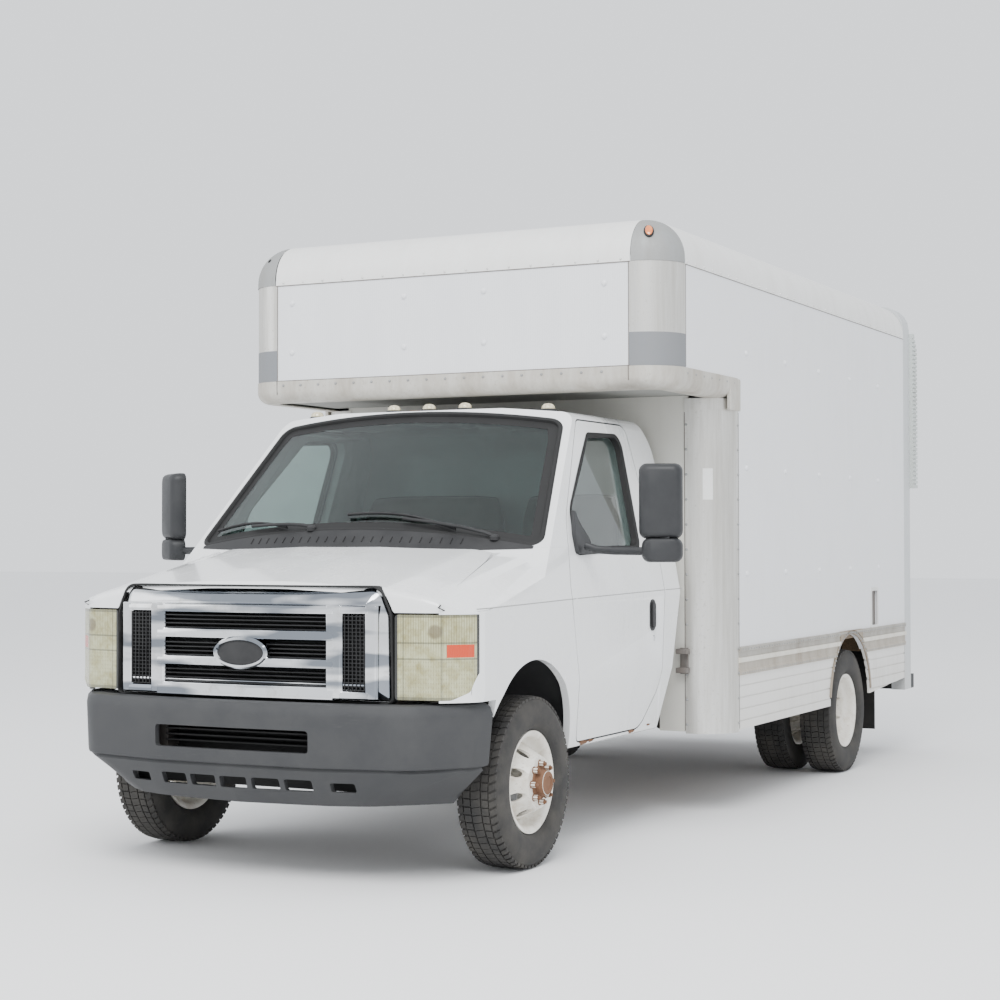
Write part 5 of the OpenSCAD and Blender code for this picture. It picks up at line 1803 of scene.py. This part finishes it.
    def cap(self, shape: Shape, side: Side) -> None:
        """One cast cap: an eighth of a ball with a skirt below it."""
        s = side.value
        cx, cy, cz, r = self.half - self.corner, self.attic + self.corner, self.wall_top, self.corner
        steps = 12
        levels = [(r + 4.5, -24.0), (r + 4.5, 0.0)]
        for j in range(1, steps + 1):
            lift = math.radians(89.5 * j / steps)
            levels.append(((r + 4.5) * math.cos(lift), (r + 0.5) * math.sin(lift)))
        turns = [math.radians(90 * i / steps) for i in range(steps + 1)]
        rings = [[(s * (cx + radius * math.sin(turn)), cy - radius * math.cos(turn), cz + rise)
                  for turn in turns] for radius, rise in levels]
        shape.loft(rings, closed=False, caps=False)

    def attic_rail(self, shop: Shop) -> None:
        """The bottom rail round the attic, with its edge turned under."""
        shape = Shape()
        z0 = self.attic_z
        turn = [(6 - 62 * (1 - math.cos(math.radians(a))),
                 z0 + 62 - 62 * math.sin(math.radians(a))) for a in range(0, 91, 10)]
        back = [(6 - 56 * (1 - math.cos(math.radians(a))) - 6,
                 z0 + 64 - 56 * math.sin(math.radians(a)))
                for a in range(80, -1, -20)]
        section = [(0, self.rail_top), (6, self.rail_top)] + turn
        section += [(-110, z0), (-110, z0 + 6), (-54, z0 + 8)] + back
        path = self.stations(self.attic, Side.RIGHT, True, 0.0,
                             1950)[::-1] + self.stations(self.attic, Side.LEFT, True, None, 1950)
        self.sweep(shape, section, path)
        shop.piece("attic_rail", shape, "rail_dirty", "bare_aluminium", angle=35)
        ends = Shape()
        for side in SIDES:
            s = side.value
            x0, x1 = ordered(s, self.half - 12, self.half + 8)
            ends.prism(Axis.X, rectangle(1836, z0 - 60, 1990, self.rail_top - 4, 10), x0, x1)
        shop.piece("attic_rail_ends", ends, "rail_dirty", "bare_aluminium", bevel=3.0)

    def arch(self, radius: float, a0: float, a1: float, steps: int = 20) -> list[Point]:
        """Points round a rear wheel opening."""
        y, z, _ = self.wheel
        return [(y + radius * math.cos(math.radians(a0 + (a1 - a0) * i / steps)),
                 z + radius * math.sin(math.radians(a0 + (a1 - a0) * i / steps)))
                for i in range(steps + 1)]

    def rub_rails(self, shop: Shop) -> None:
        """Grooved rub rails, their light bead, and the patch over each wheel."""
        rails, beads, tops, patches = Shape(), Shape(), Shape(), Shape()
        y, z, r = self.wheel
        ends = ((self.front + self.corner + 6, -1), (self.wall_back - 4, 1))
        strips = ((rails, [(0.3, 713), (10, 714), (11, 736), (5, 742), (5, 778), (0.3, 778)]),
                  (beads, [(0.3, 778), (13, 780), (15, 792), (13, 804), (0.3, 806)]),
                  (tops, [(0.3, 806), (5, 806), (5, 832), (11, 837), (13, 858), (0.3, 861)]))
        for side in SIDES:
            s = side.value
            for (outer, toward), (target, section) in itertools.product(ends, strips):
                reach = [math.sqrt(max(0.0, (r + 28) ** 2 - (h - z) ** 2)) + 1 for _, h in section]
                target.loft([[(s * (self.half + d), outer, h) for d, h in section],
                             [(s * (self.half + d), y + toward * gap, h)
                              for (d, h), gap in zip(section, reach)]])
            ring_out, ring_in = self.arch(r + 26, 8, 172, 30), self.arch(r + 3, 8, 172, 30)
            x0, x1 = ordered(s, self.half + 0.3, self.half + 7)
            patches.prism(Axis.X, ring_out + ring_in[::-1], x0, x1)
            crown = self.arch(r + 26, 58, 122, 14)
            x0, x1 = ordered(s, self.half + 0.3, self.half + 12)
            patches.prism(Axis.X, [(crown[0][0], 862.5), (crown[-1][0], 862.5)] + crown[::-1], x0,
                          x1)
        shop.piece("rub_rails", rails, "rub_low", "bare_aluminium", replaces=["box_rails"],
                   angle=25)
        shop.piece("rub_beads", beads, "bead_cream", "bare_aluminium", angle=50)
        shop.piece("rub_tops", tops, "rub_top", "bare_aluminium", angle=25)
        shop.piece("arch_patches", patches, "patch_brown", "bare_aluminium", angle=25, bevel=1.5)

    def rivets(self, shop: Shop) -> None:
        """Every rivet row of the box, by geometry nodes."""
        studs, rail, column, dots = [], [], [], []
        for side in SIDES:
            s = side.value
            x = s * self.half
            studs += [(x, y, z) for y in (2095, 2733, 3350, 3972, 4592) for z in (1238, 1790, 2392)]
            rail += [(x + 4 * s, y, self.wall_top - 13) for y in range(1240, 5200, 118)]
            for z in range(470, 2080, 128):
                column += [(s * (self.half - self.corner - 8), self.front - 1, z),
                           (x + 1.5 * s, self.front + self.corner + 5, z)]
            dots += [(x + 13 * s, y, 846) for y in range(2000, 5200, 42)]
            dots += [(x + 10 * s, y, 724) for y in [*range(2000, 3640, 34), *range(4300, 5200, 34)]]
            column += [(x + 3 * s, y, 2222) for y in range(1240, 1940, 110)]
            column += [(x + 7 * s, py, pz) for py, pz in self.arch(self.wheel[2] + 15, 30, 150, 26)]
        fronts = [(x, self.attic, z) for x in (-908, -236, 218, 872) for z in (2398, 2655)]
        rail += [(x, self.attic - 4, self.wall_top - 13) for x in range(-960, 961, 120)]
        column += [(x, self.attic - 6, 2226) for x in range(-960, 961, 107)]
        shop.domes("panel_studs", studs, "panel_white", "panel_white", 16, (0.75, 1.0, 1.0))
        shop.domes("attic_studs", fronts, "panel_white", "panel_white", 16, (1.0, 0.75, 1.0))
        shop.domes("rail_rivets", rail, "rail_silver", "bare_aluminium", 6, (1.0, 1.0, 1.0))
        shop.domes("column_rivets", column, "cast_grey", "bare_aluminium", 7)
        shop.domes("rub_rivets", dots, "cast_grey", "bare_aluminium", 4.5)

    def joints(self, shop: Shop) -> None:
        """Dark lines where the sheets meet, and a blank label on one column."""
        lines, label = Shape(), Shape()
        inner, top = self.half - self.corner, self.wall_top - 27
        attic_y, column_y = self.attic + self.corner + 14, self.front + self.corner + 14
        ends = (-inner + 4, inner - 4)
        seams = [(*[(x, self.attic - 2, top) for x in ends], 2.6),
                 (*[(x, self.attic - 1, self.rail_top + 2) for x in ends], 2.4)]
        for side in SIDES:
            s = side.value
            x, edge, flank = s * (self.half + 1), s * (inner - 17), s * (inner - 12)
            seams += [((x, attic_y, top), (x, self.wall_back - 4, top), 2.6),
                      ((x, column_y, 2070), (x, column_y, 440), 2.2),
                      ((edge, self.front - 1, 2070), (edge, self.front - 1, 440), 2.6),
                      ((x, attic_y, top), (x, attic_y, self.rail_top + 4), 2.0),
                      ((flank, self.attic - 1, top), (flank, self.attic - 1, self.rail_top + 4),
                       2.4),
                      ((flank, self.attic - 7, self.rail_top),
                       (flank, self.attic - 5, self.attic_z + 40), 2.4)]
        for start, end, radius in seams:
            lines.tube([start, end], radius, 6)
        shop.piece("sheet_joints", lines, "cast_iron", "bare_aluminium", angle=60)
        arc = self.stations(self.front, Side.LEFT, True)[3:6]
        self.sweep(label, [(1, 1620), (2.6, 1620), (2.6, 1780), (1, 1780)], arc)
        shop.piece("blank_label", label, "rail_white", "panel_white")

    def fittings(self, shop: Shop) -> None:
        """Cap lamp and hole, side pocket and mounting brackets."""
        lamp, rim, pocket, frame, brackets = Shape(), Shape(), Shape(), Shape(), Shape()
        centre = Vector((self.half - self.corner, self.attic + self.corner, self.wall_top))
        aim = Vector((0.36, -0.72, 0.59)).normalized()
        across = Vector((0.9, 0.43, 0)).normalized()
        up = aim.cross(across).normalized() * -1
        for shape, a, b, low, high in ((rim, 25, 38, 2, 11), (lamp, 18, 31, 6, 17)):
            rings = []
            for lift, scale in ((low, 1.0), (high - 3, 1.0), (high, 0.8)):
                rings.append([centre + aim * (self.corner + lift) + (across * a * c + up * b * s) *
                              scale
                              for c, s in unit_circle(20)])
            shape.loft(rings)
        shop.piece("cap_lamp_rim", rim, "gasket_black", "rubber", angle=40)
        shop.piece("cap_lamp", lamp, "amber_lens", "lamp_amber", angle=50)
        # The hole in the other cap is a black plug: painted shade for the hole's dark inside.
        hole = Shape()
        mirrored = Vector((-aim.x, aim.y, aim.z))
        spot = Vector((-centre.x, centre.y, centre.z)) + mirrored * (self.corner + 5.0)
        side_axis = Vector((0.9, -0.43, 0)).normalized()
        rise = mirrored.cross(side_axis).normalized()
        hole.loft([[spot + mirrored * out + (side_axis * c + rise * s) * 11 for c,
                    s in unit_circle(16)]
                   for out in (-6, 0.5)])
        shop.piece("cap_socket", hole, "gasket_black", "rubber")
        for side in SIDES:
            s = side.value
            outer = rectangle(4410, 852, 4576, 1112, 18)
            inner = rectangle(4432, 876, 4554, 1090, 10)
            x0, x1 = s * (self.half - 2), s * (self.half + 4)
            frame.loft([[(x, py, pz) for py, pz in loop] for x, loop in
                        ((x0, outer), (x1, outer), (x1, inner), (x0, inner))], caps=False,
                       around=True)
            low, high = ordered(s, self.half - 16.5, self.half - 14)
            pocket.box((low, 4426, 873), (high, 4559, 1095))
            b0, b1 = ordered(s, 960, 1020)
            for z0, z1 in ((735, 762), (832, 858)):
                brackets.box((b0, 1706, z0), (b1, 1757, z1))
            brackets.box((b0 + 8, 1748, 728), (b1 - 8, 1757, 862))
        shop.piece("pocket_frames", frame, "rail_silver", "bare_aluminium", bevel=1.5)
        shop.piece("pocket_backs", pocket, "cast_iron", "bare_aluminium")
        shop.piece("cab_brackets", brackets, "cast_iron", "cast_metal", bevel=2.0)


@dataclass
class Interior:
    """Seats with padded cushions on their bases."""

    seats: tuple[tuple[float, float], ...] = ((450.0, 520.0), (-350.0, 820.0))
    seat_z: float = 845.0

    def build(self, shop: Shop) -> None:
        """Build the seats."""
        for index, (x, width) in enumerate(self.seats):
            self.cushion(shop, f"seat_cushion_{index}", x, width, False)
            self.cushion(shop, f"seat_back_{index}", x, width, True)
        base = Shape()
        for x, width in self.seats:
            base.box((x - width / 2 + 60, 960, 745.3), (x + width / 2 - 60, 1480, self.seat_z + 20))
        shop.piece("seat_bases", base, "dash_plastic", "dash_plastic", replaces=["seats"], bevel=8)

    def cushion(self, shop: Shop, name: str, x: float, width: float, back: bool) -> None:
        """One crowned pad with rounded ends."""
        shape = Shape()
        if back:
            profile = rounded([(1392, 872, 30), (1500, 872, 40), (1608, 1636, 60),
                               (1512, 1656, 60)], 5)
        else:
            profile = rounded([(902, 855, 40), (1398, 848, 40), (1398, 975, 50), (902, 1003, 60)],
                              5)
        cy, cz = middle(profile)
        rings = []
        for t in (-1.0, -0.97, -0.9, -0.6, -0.3, 0.0, 0.3, 0.6, 0.9, 0.97, 1.0):
            scale = 1.0 - 0.30 * max(0.0, (abs(t) - 0.86) / 0.14) ** 2
            crown = 1.0 - 0.05 * (1 - abs(t))
            rings.append([(x + t * (width / 2 - 4), cy + (py - cy) * scale * (2 - crown) ** 0.2,
                           cz + (pz - cz) * scale)
                          for py, pz in profile])
        shape.loft(rings)
        obj = shape.object(name, shop.paints["seat_weave"])
        soften(obj, 60)
        hand_in(obj, "chassis", ["seats"])


# ---- what the model keeps ----------------------------------------------------------


KEPT: dict[str, str] = {
    "frame_rails": "chassis_black", "engine_block": "cast_iron", "front_axle": "chassis_black",
    "rear_axle": "chassis_black", "drive_shaft": "chassis_black", "exhaust": "exhaust_scale",
    "fuel_tank": "trim_black", "wheel_wells": "trim_black", "windscreen": "screen_glass",
    "door_glass_left": "door_glass", "door_glass_right": "door_glass", "dashboard": "dash_plastic",
    "steering_wheel": "trim_black", "box_floor": "deck_boards", "box_roof": "panel_white",
    "rear_frame": "post_grey", "rear_door": "door_white", "corner_guards": "guard_alloy",
    "rear_bumper": "trim_black", "mud_flaps": "flap_rubber", "knuckle_left": "chassis_black",
    "knuckle_right": "chassis_black",
}


def paint_kept(shop: Shop) -> None:
    """Give each node that stays its finish."""
    for name, finish in KEPT.items():
        node = shop.frame["nodes"][name]
        node.data.materials.clear()
        node.data.materials.append(shop.paints[finish])
        LOG.info("%s keeps its shape in %s", name, finish)


# ---- studio -----------------------------------------------------------------------


@dataclass
class Studio:
    """Floor, light and camera."""

    camera_at: tuple[float, float, float] = (4.6256, -9.8949, 1.4162)
    lens: float = 70.03
    pitch: float = 91.174
    yaw: float = 26.685
    roll: float = -0.1106
    sensor: float = 36.0
    floor_half: float = 60.0
    sky: Colour = (0.93, 0.96, 1.0)
    sky_strength: float = 1.5
    lamps: tuple = (("key", (4.0, -10.0, 11.0), 7.0, 1900.0),
                    ("fill", (-9.0, -7.0, 6.0), 8.0, 250.0))
    lamps_aim: Vector = field(default_factory=lambda: Vector((0, 0, 1)))

    def build(self) -> None:
        """Build everything that isn't the truck."""
        self.floor()
        self.lights()
        self.camera()

    def floor(self) -> None:
        """A broad pale floor."""
        bm = bmesh.new()
        bmesh.ops.create_grid(bm, x_segments=1, y_segments=1, size=self.floor_half)
        mesh = bpy.data.meshes.new("studio_floor")
        bm.to_mesh(mesh)
        bm.free()
        g = Graph("studio_floor_paint")
        g.set(Base_Color=(0.9, 0.9, 0.9, 1.0), Roughness=0.9)
        place("studio_floor", mesh, g.material)

    def lights(self) -> None:
        """A bright sky, one soft key and one fill."""
        world = bpy.data.worlds.new("studio_sky")
        world.use_nodes = True
        back = world.node_tree.nodes["Background"]
        back.inputs["Color"].default_value = (*self.sky, 1.0)
        back.inputs["Strength"].default_value = self.sky_strength
        bpy.context.scene.world = world
        for name, where, size, power in self.lamps:
            data = bpy.data.lights.new(name, "AREA")
            data.size = size
            data.energy = power
            lamp = bpy.data.objects.new(name, data)
            lamp.location = where
            aim = self.lamps_aim - Vector(where)
            lamp.rotation_euler = aim.to_track_quat("-Z", "Y").to_euler()
            bpy.context.scene.collection.objects.link(lamp)

    def camera(self) -> None:
        """The camera."""
        data = bpy.data.cameras.new("camera")
        data.lens = self.lens
        data.sensor_width = self.sensor
        data.clip_end = 200.0
        obj = bpy.data.objects.new("camera", data)
        turn = Matrix.Rotation(math.radians(self.yaw), 4,
                               "Z") @ Matrix.Rotation(math.radians(self.pitch), 4, "X") @ \
            Matrix.Rotation(math.radians(self.roll), 4, "Z")
        obj.matrix_world = Matrix.Translation(self.camera_at) @ turn
        bpy.context.scene.collection.objects.link(obj)
        bpy.context.scene.camera = obj


def main() -> None:
    """Build the scene, sub-assembly by sub-assembly."""
    logging.basicConfig(level=logging.INFO, format="%(name)s %(message)s")
    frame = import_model()
    DATUM.read()
    shop = Shop(frame, Paints())
    Studio().build()
    paint_kept(shop)
    RunningGear().build(shop)
    CabBody().build(shop)
    FrontEnd().build(shop)
    CargoBody().build(shop)
    Interior().build(shop)
    bpy.context.view_layer.update()


if __name__ == "__main__":
    main()
